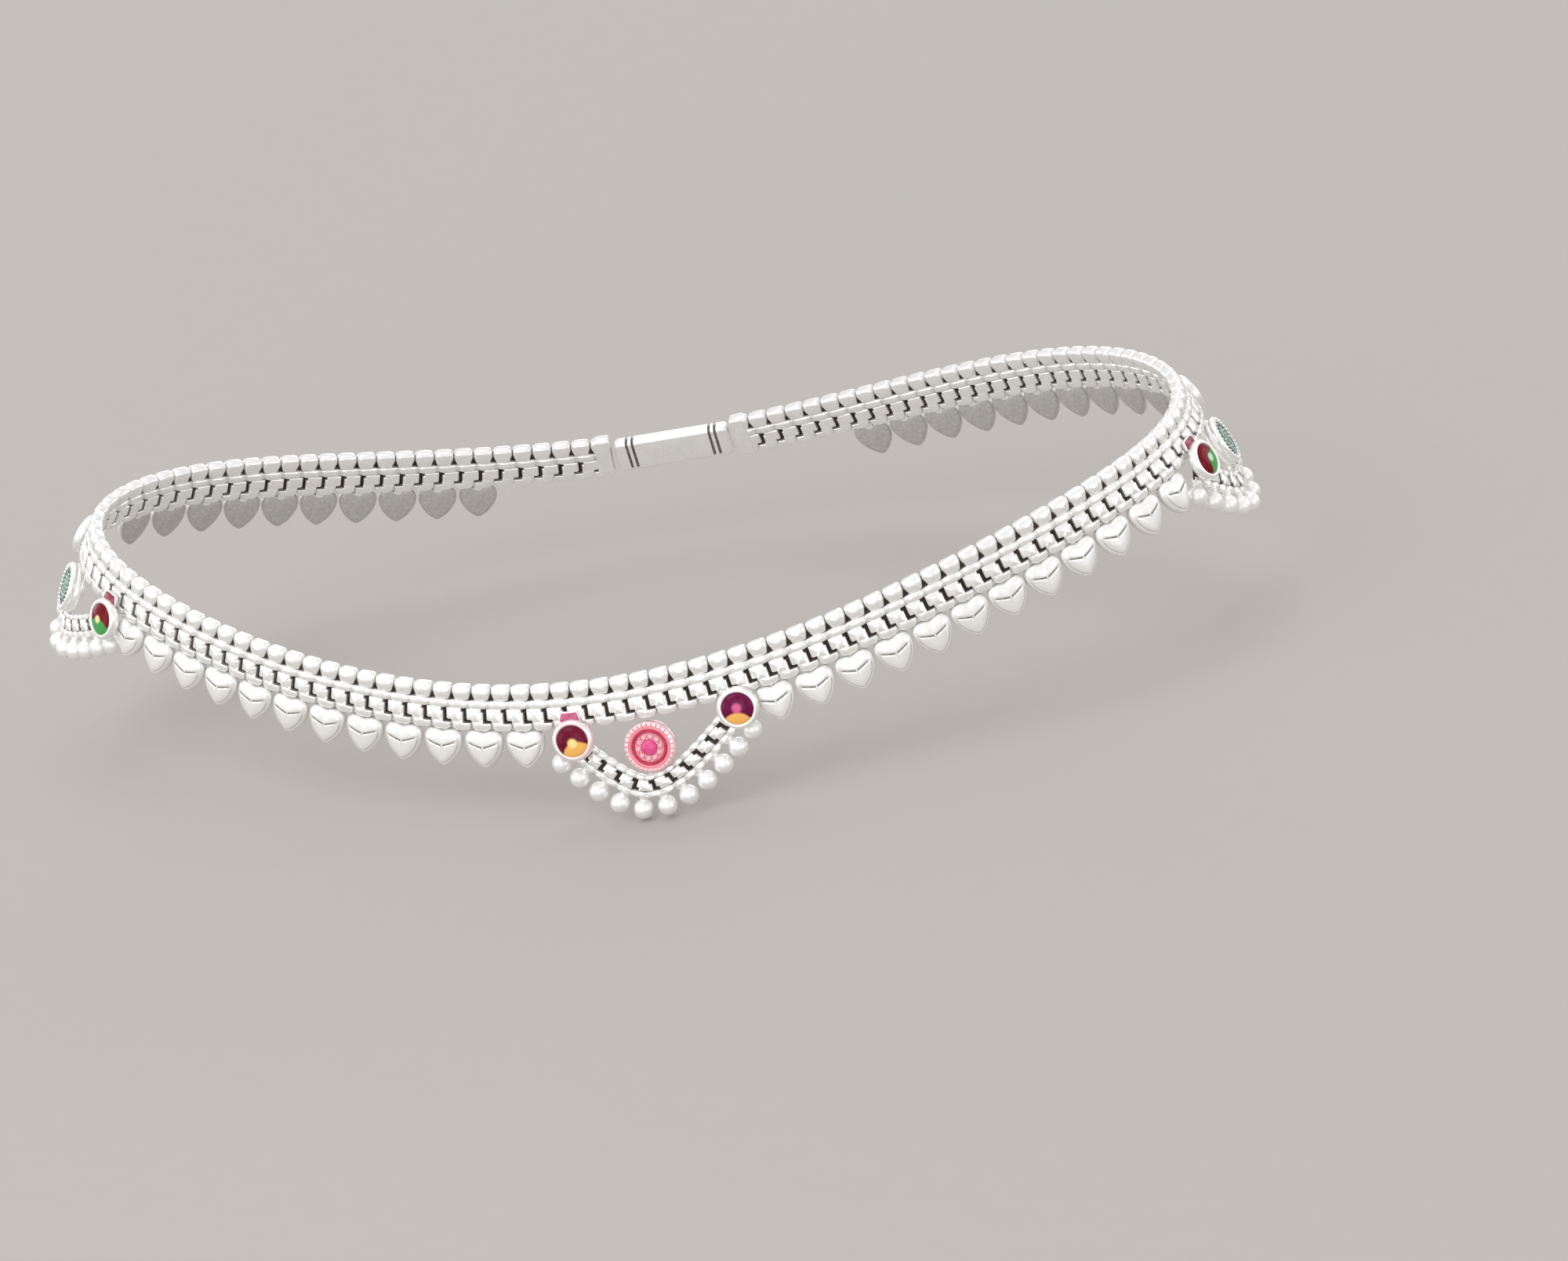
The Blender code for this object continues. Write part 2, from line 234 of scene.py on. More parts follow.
@dataclass(frozen=True)
class Silver:
    """Polished silver, darkened in its recesses by painted shade and by tarnish."""

    name: str
    tint: Colour = (0.975, 0.970, 0.955)
    worn_tint: Colour = (0.90, 0.895, 0.875)
    shade_and_tarnish_tint: Colour = (0.10, 0.075, 0.055)
    gloss: float = 0.20
    gloss_spread: float = 0.14
    shade_and_tarnish_dulling: float = 0.35
    metal: float = 0.64
    cloud: float = 1.6 * MM
    grain: float = 0.22 * MM
    grain_depth: float = 0.012 * MM

    def material(self) -> bpy.types.Material:
        """Make the finish.

        Returns:
            Its material, which reads each point's painted shade and tarnish.
        """
        graph = Graph(self.name)
        cloud = graph.noise(self.cloud).smooth(0.35, 0.7)
        grain = graph.noise(self.grain)
        # Painted shade and tarnish: each point's value darkens the silver towards the dark tint and roughens
        # it.
        dark = graph.node("ShaderNodeAttribute", {"attribute_name": SHADE_AND_TARNISH}, output="Fac")
        depth = (dark * (0.75 + 0.5 * grain)).smooth(0.1, 0.95)
        metal = graph.mix(cloud * 0.8, self.tint, self.worn_tint)
        return graph.dress(
            Base_Color=graph.mix(depth, metal, self.shade_and_tarnish_tint),
            Roughness=self.gloss + self.gloss_spread * cloud + self.shade_and_tarnish_dulling * depth,
            Metallic=self.metal,
            Normal=graph.bump(grain, self.grain_depth),
        )


@dataclass(frozen=True)
class PaintedShadowCore:
    """Blackened metal at the bottom of the weave: a sheet of painted shade that darkens the gaps as shadow
    would.
    """

    name: str = "painted_shadow_core"
    dark: Colour = (0.018, 0.013, 0.010)
    brown: Colour = (0.075, 0.045, 0.030)
    blotch: float = 0.5 * MM
    blotch_depth: float = 0.02 * MM

    def material(self) -> bpy.types.Material:
        """Make the finish.

        Returns:
            Its material.
        """
        graph = Graph(self.name)
        blotch = graph.noise(self.blotch, 4.0).smooth(0.4, 0.65)
        return graph.dress(
            Base_Color=graph.mix(blotch, self.dark, self.brown),
            Roughness=0.55 + 0.25 * blotch,
            Metallic=0.35,
            Normal=graph.bump(blotch, self.blotch_depth),
        )


@dataclass(frozen=True)
class Enamel:
    """Fired glass of one colour, with deeper blotches."""

    name: str
    colour: Colour
    deep: Colour
    blotch: float = 0.5 * MM
    gloss: float = 0.09
    pit: float = 0.12 * MM
    pit_depth: float = 0.004 * MM

    def material(self) -> bpy.types.Material:
        """Make the finish.

        Returns:
            Its material.
        """
        graph = Graph(self.name)
        blotch = graph.noise(self.blotch).smooth(0.38, 0.72)
        return graph.dress(
            Base_Color=graph.mix(blotch * 0.85, self.colour, self.deep),
            Roughness=self.gloss + 0.10 * blotch,
            Normal=graph.bump(graph.noise(self.pit, 2.0), self.pit_depth),
            Coat_Weight=0.35,
            Coat_Roughness=0.04,
            Specular_IOR_Level=0.35,
        )


@dataclass(frozen=True)
class TwoToneEnamel:
    """A domed enamel field: one colour above an arched edge, another below it, and a painted highlight, a
    bright spot that stands in for light on the dome.
    """

    name: str
    upper: Colour
    lower: Colour
    painted_highlight: Colour
    turn: float
    split: float
    highlight_radius: float
    highlight_place: tuple[float, float]
    arch: float = 0.42 / MM
    drift: float = 0.25 * MM
    drift_size: float = 0.7 * MM
    below_edge: float = 0.12 * MM
    above_edge: float = 0.16 * MM
    blotch: float = 0.5 * MM
    blotch_depth: float = 0.006 * MM
    deepening: float = 0.45

    def material(self) -> bpy.types.Material:
        """Make the finish.

        Returns:
            Its material, laid out round the middle of the piece's front.
        """
        graph = Graph(self.name)
        x, y = graph.flat_place()
        drift = (graph.noise(self.drift_size) - 0.5) * self.drift
        across = x * math.cos(self.turn) - y * math.sin(self.turn)
        tilted = y * math.cos(self.turn) + x * math.sin(self.turn) + across * across * self.arch + drift
        above = tilted.smooth(self.split - self.below_edge, self.split + self.above_edge)
        blotch = graph.noise(self.blotch).smooth(0.35, 0.75)
        deeper = tuple(self.deepening * c for c in self.upper)
        toned = graph.mix(blotch * above * 0.6, graph.mix(above, self.lower, self.upper), deeper)
        # Painted highlight: a bright spot of its own colour round its place on the front.
        right, up = x - self.highlight_place[0], y - self.highlight_place[1]
        away = (right * right + up * up + drift * drift) ** 0.5
        painted_highlight = away.smooth(self.highlight_radius, 0.45 * self.highlight_radius)
        return graph.dress(
            Base_Color=graph.mix(painted_highlight, toned, self.painted_highlight),
            Roughness=0.07 + 0.10 * blotch,
            Normal=graph.bump(blotch, self.blotch_depth),
            Coat_Weight=0.10,
            Coat_Roughness=0.03,
            Specular_IOR_Level=0.12,
        )


@dataclass(frozen=True)
class PaleFloor:
    """Matt pale paper under the anklet."""

    name: str = "pale_floor"
    tint: Colour = (0.44, 0.415, 0.39)
    fibre: float = 3.0 * MM
    fibre_lift: float = 1.02

    def material(self) -> bpy.types.Material:
        """Make the finish.

        Returns:
            Its material.
        """
        graph = Graph(self.name)
        paler = tuple(self.fibre_lift * c for c in self.tint)
        fibres = graph.noise(self.fibre, 4.0)
        return graph.dress(Base_Color=graph.mix(fibres, self.tint, paler), Roughness=0.9)


class Slot(Enum):
    """Names of material slots."""

    SILVER = "silver"
    PINK = "pink_enamel"
    TEAL = "teal_enamel"
    MAROON = "maroon_enamel"
    GREEN = "green_enamel"


@dataclass(frozen=True)
class Shape:
    """A closed shape: points, faces as numbers of those points, and how dark each point is from painted shade
    and tarnish, from 0 to 1.
    """

    points: np.ndarray
    faces: Faces
    shade_and_tarnish: np.ndarray

    def moved(self, points: np.ndarray) -> "Shape":
        """The same shape with its points elsewhere."""
        return replace(self, points=points)

    def toned(self, shade_and_tarnish: np.ndarray | float) -> "Shape":
        """The same shape with other painted shade and tarnish."""
        return replace(self, shade_and_tarnish=np.broadcast_to(shade_and_tarnish, len(self.points)))


@dataclass
class Form:
    """The shapes of one mesh, each with the number of its finish."""

    shapes: list[Shape] = field(default_factory=list)
    finishes: list[int] = field(default_factory=list)

    def add(self, shape: Shape, finish: int = 0) -> None:
        """Add a shape with the number of its finish."""
        self.shapes.append(shape)
        self.finishes.append(finish)

    def mesh(
        self, name: str, materials: Sequence[bpy.types.Material], crease: float = 38.0
    ) -> bpy.types.Mesh:
        """Make the mesh, with its faces turned outwards.

        Args:
            name: The mesh's name.
            materials: Its materials, in the order of the finish numbers.
            crease: Edges sharper than this, in degrees, stay sharp.

        Returns:
            The mesh.
        """
        faces: Faces = []
        finishes: list[int] = []
        count = 0
        for shape, finish in zip(self.shapes, self.finishes):
            faces += [tuple(count + i for i in face) for face in shape.faces]
            finishes += [finish] * len(shape.faces)
            count += len(shape.points)
        mesh = bpy.data.meshes.new(name)
        mesh.from_pydata(np.concatenate([shape.points for shape in self.shapes]).tolist(), [], faces)
        for material in materials:
            mesh.materials.append(material)
        mesh.polygons.foreach_set("material_index", finishes)
        dark = mesh.attributes.new(SHADE_AND_TARNISH, "FLOAT", "POINT")
        tones = np.concatenate([shape.shade_and_tarnish for shape in self.shapes])
        dark.data.foreach_set("value", tones.astype(np.float32))
        work = bmesh.new()
        work.from_mesh(mesh)
        bmesh.ops.recalc_face_normals(work, faces=work.faces)
        work.to_mesh(mesh)
        work.free()
        mesh.shade_smooth()
        mesh.set_sharp_from_angle(angle=math.radians(crease))
        return mesh


def capped(rows: Sequence[np.ndarray], tones: Sequence[np.ndarray | float]) -> Shape:
    """Join a row of closed rings that starts and ends with a single point.

    Args:
        rows: The first point, the rings and the last point, each as rows of three coordinates.
        tones: How dark each row is, or each of its points.

    Returns:
        The shape.
    """
    sides = len(rows[1])
    last = 1 + (len(rows) - 2) * sides
    faces: Faces = []
    for i in range(sides):
        j = (i + 1) % sides
        faces.append((0, 1 + j, 1 + i))
        for low in range(1, last - sides, sides):
            high = low + sides
            faces.append((low + i, low + j, high + j, high + i))
        faces.append((last - sides + i, last - sides + j, last))
    shade_and_tarnish = np.concatenate([np.broadcast_to(tone, len(row)) for tone, row in zip(tones, rows)])
    return Shape(np.concatenate(rows).astype(float), faces, shade_and_tarnish.astype(float))


def lofted(
    stations: Sequence[float],
    sections: Sequence[np.ndarray],
    middle: Sequence[float],
    tones: Sequence[np.ndarray | float],
    end_tone: float,
) -> Shape:
    """Join a row of sections that stand along the first axis.

    Args:
        stations: Where each section stands.
        sections: Each section's two other coordinates, a row for each point.
        middle: Those two coordinates of the points that close the ends.
        tones: How dark each section is, or each of its points.
        end_tone: How dark the two end points are.

    Returns:
        The shape.
    """
    rings = [
        np.column_stack((np.full(len(section), place), section)) for place, section in zip(stations, sections)
    ]
    first, last = ([(place, *middle)] for place in (stations[0], stations[-1]))
    return capped([first, *rings, last], [end_tone, *tones, end_tone])


def turned(profile: Profile, sides: int) -> Shape:
    """Turn a profile round Z.

    Args:
        profile: Radius and height of each row, from the axis round and back to the axis.
        sides: How many points go round.

    Returns:
        The shape, untarnished.
    """
    turns = np.arange(sides) * 2 * math.pi / sides
    circle = np.column_stack((np.cos(turns), np.sin(turns)))
    rings = [np.column_stack((circle * r, np.full(sides, z))) for r, z in profile[1:-1]]
    first, last = ([(0, 0, z)] for _, z in (profile[0], profile[-1]))
    return capped([first, *rings, last], [0.0] * len(profile))


def ball(radius: float, sides: int, rows: int) -> Shape:
    """A ball about the origin, with sides round it and rows from pole to pole."""
    turns = [math.pi * k / rows for k in range(rows + 1)]
    return turned([(radius * math.sin(turn), -radius * math.cos(turn)) for turn in turns], sides)


def squared(values: np.ndarray, power: float) -> np.ndarray:
    """The values with their sizes raised to a power and their signs kept, which squares up an oval."""
    return np.sign(values) * np.abs(values) ** power


def bell(distance: np.ndarray | float, width: float) -> np.ndarray | float:
    """How near a distance is: 1 at none, falling smoothly to 0 over a few widths."""
    return np.exp(-((distance / width) ** 2))


def spun(points: np.ndarray, angle: float) -> np.ndarray:
    """The points turned about Z by an angle."""
    c, s = math.cos(angle), math.sin(angle)
    return points @ np.array(((c, s, 0), (-s, c, 0), (0, 0, 1)))


def rounded_outline(corners: Sequence[tuple[float, float, float]], steps: int = 4) -> np.ndarray:
    """A closed outline with softened corners.

    Args:
        corners: Each corner's x, y and the length that its curve takes off both sides.
        steps: How many stretches each curve has.

    Returns:
        The outline's points, one row each.
    """
    points = []
    for i, (x, y, cut) in enumerate(corners):
        corner = np.array((x, y))
        before = np.array(corners[i - 1][:2]) - corner
        after = np.array(corners[(i + 1) % len(corners)][:2]) - corner
        first = corner + before / np.linalg.norm(before) * cut
        second = corner + after / np.linalg.norm(after) * cut
        for k in range(steps + 1):
            t = k / steps
            points.append((1 - t) ** 2 * first + 2 * t * (1 - t) * corner + t * t * second)
    return np.array(points)


def rectangle(low: tuple[float, float], high: tuple[float, float], cut: float) -> np.ndarray:
    """A rectangle's outline between two opposite corners, with its corners softened by a cut."""
    (left, bottom), (right, top) = low, high
    return rounded_outline(((left, bottom, cut), (right, bottom, cut), (right, top, cut), (left, top, cut)))


def inset_outline(outline: np.ndarray, depth: float) -> np.ndarray:
    """Draw an outline in towards the middle of its box.

    Args:
        outline: The outline's points.
        depth: How far each side of the box comes in.

    Returns:
        The smaller outline's points.
    """
    low, high = outline.min(0), outline.max(0)
    middle, half = (high + low) / 2, (high - low) / 2
    return middle + (outline - middle) * (1 - depth / half)


@dataclass(frozen=True)
class Pillow:
    """A small cast block with an outline, rounded over at its front and its back."""

    outline: np.ndarray
    back: float
    front: float
    rounding: float
    crown: float = 0.05 * MM
    dark: float = 0.8
    steps: int = 4
    crown_inset: float = 1.45  # of the rounding, where the crown's edge lies
    crown_edge: float = 0.8  # of the crown's height, at its edge

    def shape(self) -> Shape:
        """Shape the block.

        Returns:
            The shape, darkest at its sides.
        """
        turns = [math.pi / 2 * k / self.steps for k in range(self.steps + 1)]
        over = [(self.rounding * (1 - math.cos(t)), self.rounding * (1 - math.sin(t))) for t in turns]
        levels = [(inset, self.back + down) for inset, down in reversed(over)]
        levels += [(inset, self.front - down) for inset, down in over]
        levels.append((self.rounding * self.crown_inset, self.front + self.crown_edge * self.crown))
        sides = len(self.outline)
        rings = [
            np.column_stack((inset_outline(self.outline, inset), np.full(sides, z))) for inset, z in levels
        ]
        # Painted shade and tarnish: the side walls, which face the gaps between blocks, are darkest, fading
        # out over the rounding onto front and back.
        tones = [self.dark * max(0.0, 1 - inset / self.rounding) ** 2 for inset, _ in levels]
        first, last = ([(*self.outline.mean(0), z)] for z in (self.back, self.front + self.crown))
        return capped([first, *rings, last], [0.0, *tones, 0.0])


@dataclass
class Strand:
    """The worn loop that every piece is laid out along."""

    pitch: float = 1.9 * MM
    links: int = 136
    front_shift: float = 3.1 * MM
    near_side_share: float = 0.75
    route_depth: float = 0.45 * MM
    waves: tuple[tuple[int, float, float, float], ...] = (
        (1, 1.000, 0.520, 0.000),
        (2, 0.014, 0.024, 0.094),
        (3, 0.000, 0.000, -0.012),
        (4, 0.000, 0.000, -0.012),
    )
    flare: tuple[float, ...] = (16.7, -2.0, 6.6, -1.2, 4.5)
    steps: int = 1440

    def __post_init__(self) -> None:
        """Measure the route once."""
        self.length = self.links * self.pitch
        self.angles = np.linspace(0, 2 * math.pi, self.steps + 1)
        route = np.zeros((self.steps + 1, 3))
        for wave, forward, across, up in self.waves:
            turn = wave * self.angles
            route += np.column_stack((forward * np.cos(turn), across * np.sin(turn), up * np.cos(turn)))
        runs = np.linalg.norm(np.diff(route, axis=0), axis=1)
        along = np.concatenate(([0.0], np.cumsum(runs)))
        scale = self.length / along[-1]
        self.route, self.along = route * scale, along * scale

    def _route_at(self, distance: np.ndarray) -> np.ndarray:
        """The route's points at distances from its X end."""
        distance = distance % self.length
        return np.column_stack([np.interp(distance, self.along, self.route[:, k]) for k in range(3)])

    def course(self, s: np.ndarray) -> tuple[np.ndarray, np.ndarray, np.ndarray, np.ndarray]:
        """Where the chain runs.

        Args:
            s: Places along the chain.

        Returns:
            The route's points there, and its directions along, down and outwards.
        """
        distance = self.near_side_share * self.length + self.front_shift + np.asarray(s, float)
        reach = self.pitch / 4
        along = self._route_at(distance + reach) - self._route_at(distance - reach)
        along /= np.linalg.norm(along, axis=1, keepdims=True)
        down = np.array([[0.0, 0.0, -1.0]]) + along * along[:, 2:]
        down /= np.linalg.norm(down, axis=1, keepdims=True)
        out = np.cross(down, along)
        angle = np.interp(distance % self.length, self.along, self.angles)
        lean = np.radians(sum(part * np.cos(wave * angle) for wave, part in enumerate(self.flare)))[:, None]
        leaned_down = down * np.cos(lean) + out * np.sin(lean)
        leaned_out = out * np.cos(lean) - down * np.sin(lean)
        return self._route_at(distance), along, leaned_down, leaned_out

    def points(self, places: np.ndarray) -> np.ndarray:
        """Rows of s, w and n turned into rows of x, y and z."""
        point, _, down, out = self.course(places[:, 0])
        return point + down * (places[:, 1:2] - self.route_depth) + out * places[:, 2:3]

    def matrix(self, s: float, w: float, n: float) -> Matrix:
        """Place a piece on the strand.

        Args:
            s: How far along the chain its origin is.
            w: How far down the band it is.
            n: How far out it is.

        Returns:
            The placement, with local X along the chain, Y up the band and Z outwards.
        """
        _, along, down, out = (Vector(rows[0]) for rows in self.course(np.array([s])))
        turn = Matrix((along, -down, out)).transposed().to_4x4()
        return Matrix.Translation(Vector(self.points(np.array([[s, w, n]]))[0])) @ turn

    def laid(self, shape: Shape, start: float = 0.0) -> Shape:
        """A shape in strand coordinates, laid on the chain with its origin at a start."""
        return shape.moved(self.points(shape.points + (start, 0, 0)))


@dataclass
class Workshop:
    """The strand and the finishes that the pieces share."""

    strand: Strand = field(default_factory=Strand)

    def __post_init__(self) -> None:
        """Make the shared materials."""
        blush = Silver("blush_silver", (0.985, 0.88, 0.89), (0.95, 0.74, 0.77), (0.30, 0.08, 0.10))
        self.silver = Silver("white_silver").material()
        self.soft_silver = Silver("soft_silver", gloss=0.30, metal=0.56).material()
        self.blush_silver = blush.material()
        # The core's finish is painted shade: a black sheet seen through the gaps.
        self.core = PaintedShadowCore().material()

    def place(
        self,
        mesh: bpy.types.Mesh,
        node: str,
        slot: Slot,
        matrix: Matrix | None = None,
        name: str | None = None,
    ) -> None:
        """Put a piece in the scene and say what it stands for.

        Args:
            mesh: Its mesh.
            node: The solid that it replaces.
            slot: A material slot for the piece; not used.
            matrix: Its placement, if its mesh isn't in the model's frame already.
            name: Its name, if it isn't the mesh's.
        """
        piece = bpy.data.objects.new(name or mesh.name, mesh)
        bpy.context.scene.collection.objects.link(piece)
        if matrix is not None:
            piece.matrix_world = matrix
        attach(piece, "root")
        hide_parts(node)
        log.info("%s: %d faces, for %s", piece.name, len(mesh.polygons), node)


@dataclass
class WovenBand:
    """The band: a row of beads, a running row of links, a row of hooked blocks and a scalloped hem."""

    strand: Strand
    links: int = 129
    soft: float = 0.10 * MM
    bead_top: float = 0.16 * MM
    bead_bottom: float = 1.64 * MM
    bead_gap: float = 0.05 * MM
    bead_shoulder: float = 0.50 * MM
    notch_width: float = 0.29 * MM
    notch_height: float = 0.72 * MM
    ribbon_top: float = 1.58 * MM
    ribbon_bottom: float = 2.48 * MM
    ribbon_phase: float = 0.83
    ribbon_steps: int = 10
    ribbon_sides: int = 14
    hook_phase: float = 0.16
    hook_bar: float = 0.31 * MM
    hook_serif: float = 0.18 * MM
    hook_base: float = 0.48 * MM
    serif_rise: float = 0.24 * MM
    base_rise: float = 0.32 * MM
    hook_bottom: float = 3.82 * MM
    hem_top: float = 3.76 * MM
    hem_root: float = 3.42 * MM
    hem_bottom: float = 4.52 * MM
    hem_gap: float = 0.05 * MM
    hem_round: float = 0.70 * MM
    core_edge: float = 0.60 * MM
    core_back: float = 0.42 * MM
    core_front: float = 0.74 * MM
    end_plate: float = 1.5 * MM
    plate_lift: float = 0.04 * MM

    @property
    def reach(self) -> float:
        """How far the band runs to each side of the front."""
        return (self.strand.length - CLASP_LENGTH) / 2 - PIECE_GAP

    @property
    def pitch(self) -> float:
        """The length of one link."""
        return 2 * self.reach / self.links

    def bead(self) -> Shape:
        """Shape one bead of the top row, notched at its lower corners.

        Returns:
            The bead, about its own middle along the chain.
        """
        half, soft = (self.pitch - self.bead_gap) / 2, 1.2 * self.soft
        corners = (
            (-half, self.bead_top, self.bead_shoulder),
            (half, self.bead_top, self.bead_shoulder),
            (half, self.bead_bottom - self.notch_height, soft),
            (half - self.notch_width, self.bead_bottom, soft),
            (self.notch_width - half, self.bead_bottom, soft),
            (-half, self.bead_bottom - self.notch_height, soft),
        )
        outline, back, front = rounded_outline(corners), -0.02 * MM, BAND_THICKNESS
        return Pillow(outline, back, front, rounding=0.38 * MM, crown=0.09 * MM, dark=0.30).shape()

    def hooked_block(self) -> Shape:
        """Shape one block of the third row, whose cut corners leave the hooked gaps between blocks.

        Returns:
            The block, from the middle of the gap before it.
        """
        left, right, soft = self.hook_bar / 2, self.pitch - self.hook_bar / 2, self.soft
        top, bottom = self.ribbon_bottom - 0.10 * MM, self.hook_bottom + 0.08 * MM
        corners = (
            (left, top, soft),
            (right - self.hook_serif, top, soft),
            (right - self.hook_serif, self.ribbon_bottom + self.serif_rise, soft / 2),
            (right, self.ribbon_bottom + self.serif_rise, 1.2 * soft),
            (right, bottom, soft),
            (left + self.hook_base, bottom, soft),
            (left + self.hook_base, self.hook_bottom - self.base_rise, soft),
            (left, self.hook_bottom - self.base_rise, 1.6 * soft),
        )
        outline, back, front = rounded_outline(corners, 3), 0.06 * MM, BAND_THICKNESS - 0.04 * MM
        return Pillow(outline, back, front, rounding=0.18 * MM, crown=0.08 * MM, dark=0.45).shape()

    def scallop(self) -> Shape:
        """Shape one scallop of the hem, with a root that runs up into the block above it.

        Returns:
            The scallop, about its own middle along the chain.
        """
        half, soft = (self.pitch - self.hem_gap) / 2, self.soft
        gap_start = self.hook_phase * self.pitch - self.hook_bar / 2
        corners = (
            (-half, self.hem_root, soft),
            (gap_start, self.hem_root, soft),
            (gap_start, self.hem_top, soft),
            (half, self.hem_top, soft),
            (half, self.hem_bottom, self.hem_round),
            (-half, self.hem_bottom, self.hem_round),
        )
        outline, back, front = rounded_outline(corners, 5), 0.04 * MM, BAND_THICKNESS
        return Pillow(outline, back, front, rounding=0.22 * MM, crown=0.07 * MM, dark=0.36).shape()

    def ribbon(self) -> Shape:
        """Shape the running row, fuller at the middle of each link and faintly grey with painted shade where
        two links meet.

        Returns:
            The row in strand coordinates.
        """
        stations = np.linspace(-self.reach, self.reach, self.links * self.ribbon_steps + 1)
        turns = np.arange(self.ribbon_sides) * 2 * math.pi / self.ribbon_sides
        middle_w, half_n = (self.ribbon_top + self.ribbon_bottom) / 2, BAND_THICKNESS / 2
        across, depth = squared(np.cos(turns), 0.55), squared(np.sin(turns), 0.5)
        sections, tones = [], []
        for s in stations:
            trough = abs(math.cos(math.pi * (s / self.pitch - self.ribbon_phase + 0.5))) ** 8
            half_w = (self.ribbon_bottom - self.ribbon_top) / 2 * (1 - 0.16 * trough)
            reach_n = half_n * (0.98 - 0.30 * trough)
            sections.append(np.column_stack((middle_w + half_w * across, half_n + reach_n * depth)))
            # Painted shade: grey where two links meet and along the row's upper and lower edges.
            tones.append(0.38 * trough + 0.16 * np.abs(across) ** 8)
        return lofted(stations, sections, (middle_w, half_n), tones, 0.5)

    def core(self) -> Shape:
        """Shape the blackened strip of painted shade that shows through the gaps.

        Returns:
            The strip in strand coordinates.
        """
        stations = np.linspace(-self.reach, self.reach, self.links * 2 + 1)
        low, high = self.core_edge, BAND_HEIGHT - self.core_edge
        section = np.array(
            ((low, self.core_back), (low, self.core_front), (high, self.core_front), (high, self.core_back))
        )
        count = len(stations)
        return lofted(stations, [section] * count, (BAND_HEIGHT / 2, BAND_THICKNESS / 2), [0.0] * count, 0.0)

    def plate(self) -> Shape:
        """Shape the plain plate that closes each end of the weave.

        Returns:
            The plate, about its own middle along the chain.
        """
        half, lift = self.end_plate / 2, self.plate_lift
        outline = rectangle((-half, self.bead_top - lift), (half, self.hem_bottom), 0.3 * MM)
        front = BAND_THICKNESS + lift
        return Pillow(outline, -lift, front, rounding=0.2 * MM, crown=0.02 * MM, dark=0.3).shape()

    def build(self, shop: Workshop) -> None:
        """Build the band's two pieces.

        Args:
            shop: The workshop that places them.
        """
        middles = (np.arange(self.links) - (self.links - 1) / 2) * self.pitch
        last_plate = self.reach - self.end_plate / 2
        upper, lower = Form(), Form()
        bead, plate, block, scallop = self.bead(), self.plate(), self.hooked_block(), self.scallop()
        for start in middles:
            upper.add(self.strand.laid(bead, start))
        upper.add(self.strand.laid(self.ribbon()))
        # The black core strip is painted shade behind the band's gaps.
        upper.add(self.strand.laid(self.core()), 1)
        for start in (-last_plate, last_plate):
            upper.add(self.strand.laid(plate, start))
        for start in middles[:-1]:
            lower.add(self.strand.laid(block, start + self.hook_phase * self.pitch))
        for start in middles:
            lower.add(self.strand.laid(scallop, start))
        shop.place(upper.mesh("woven_upper_rows", [shop.silver, shop.core]), "woven_band", Slot.SILVER)
        shop.place(lower.mesh("woven_lower_rows", [shop.silver]), "woven_band", Slot.SILVER)


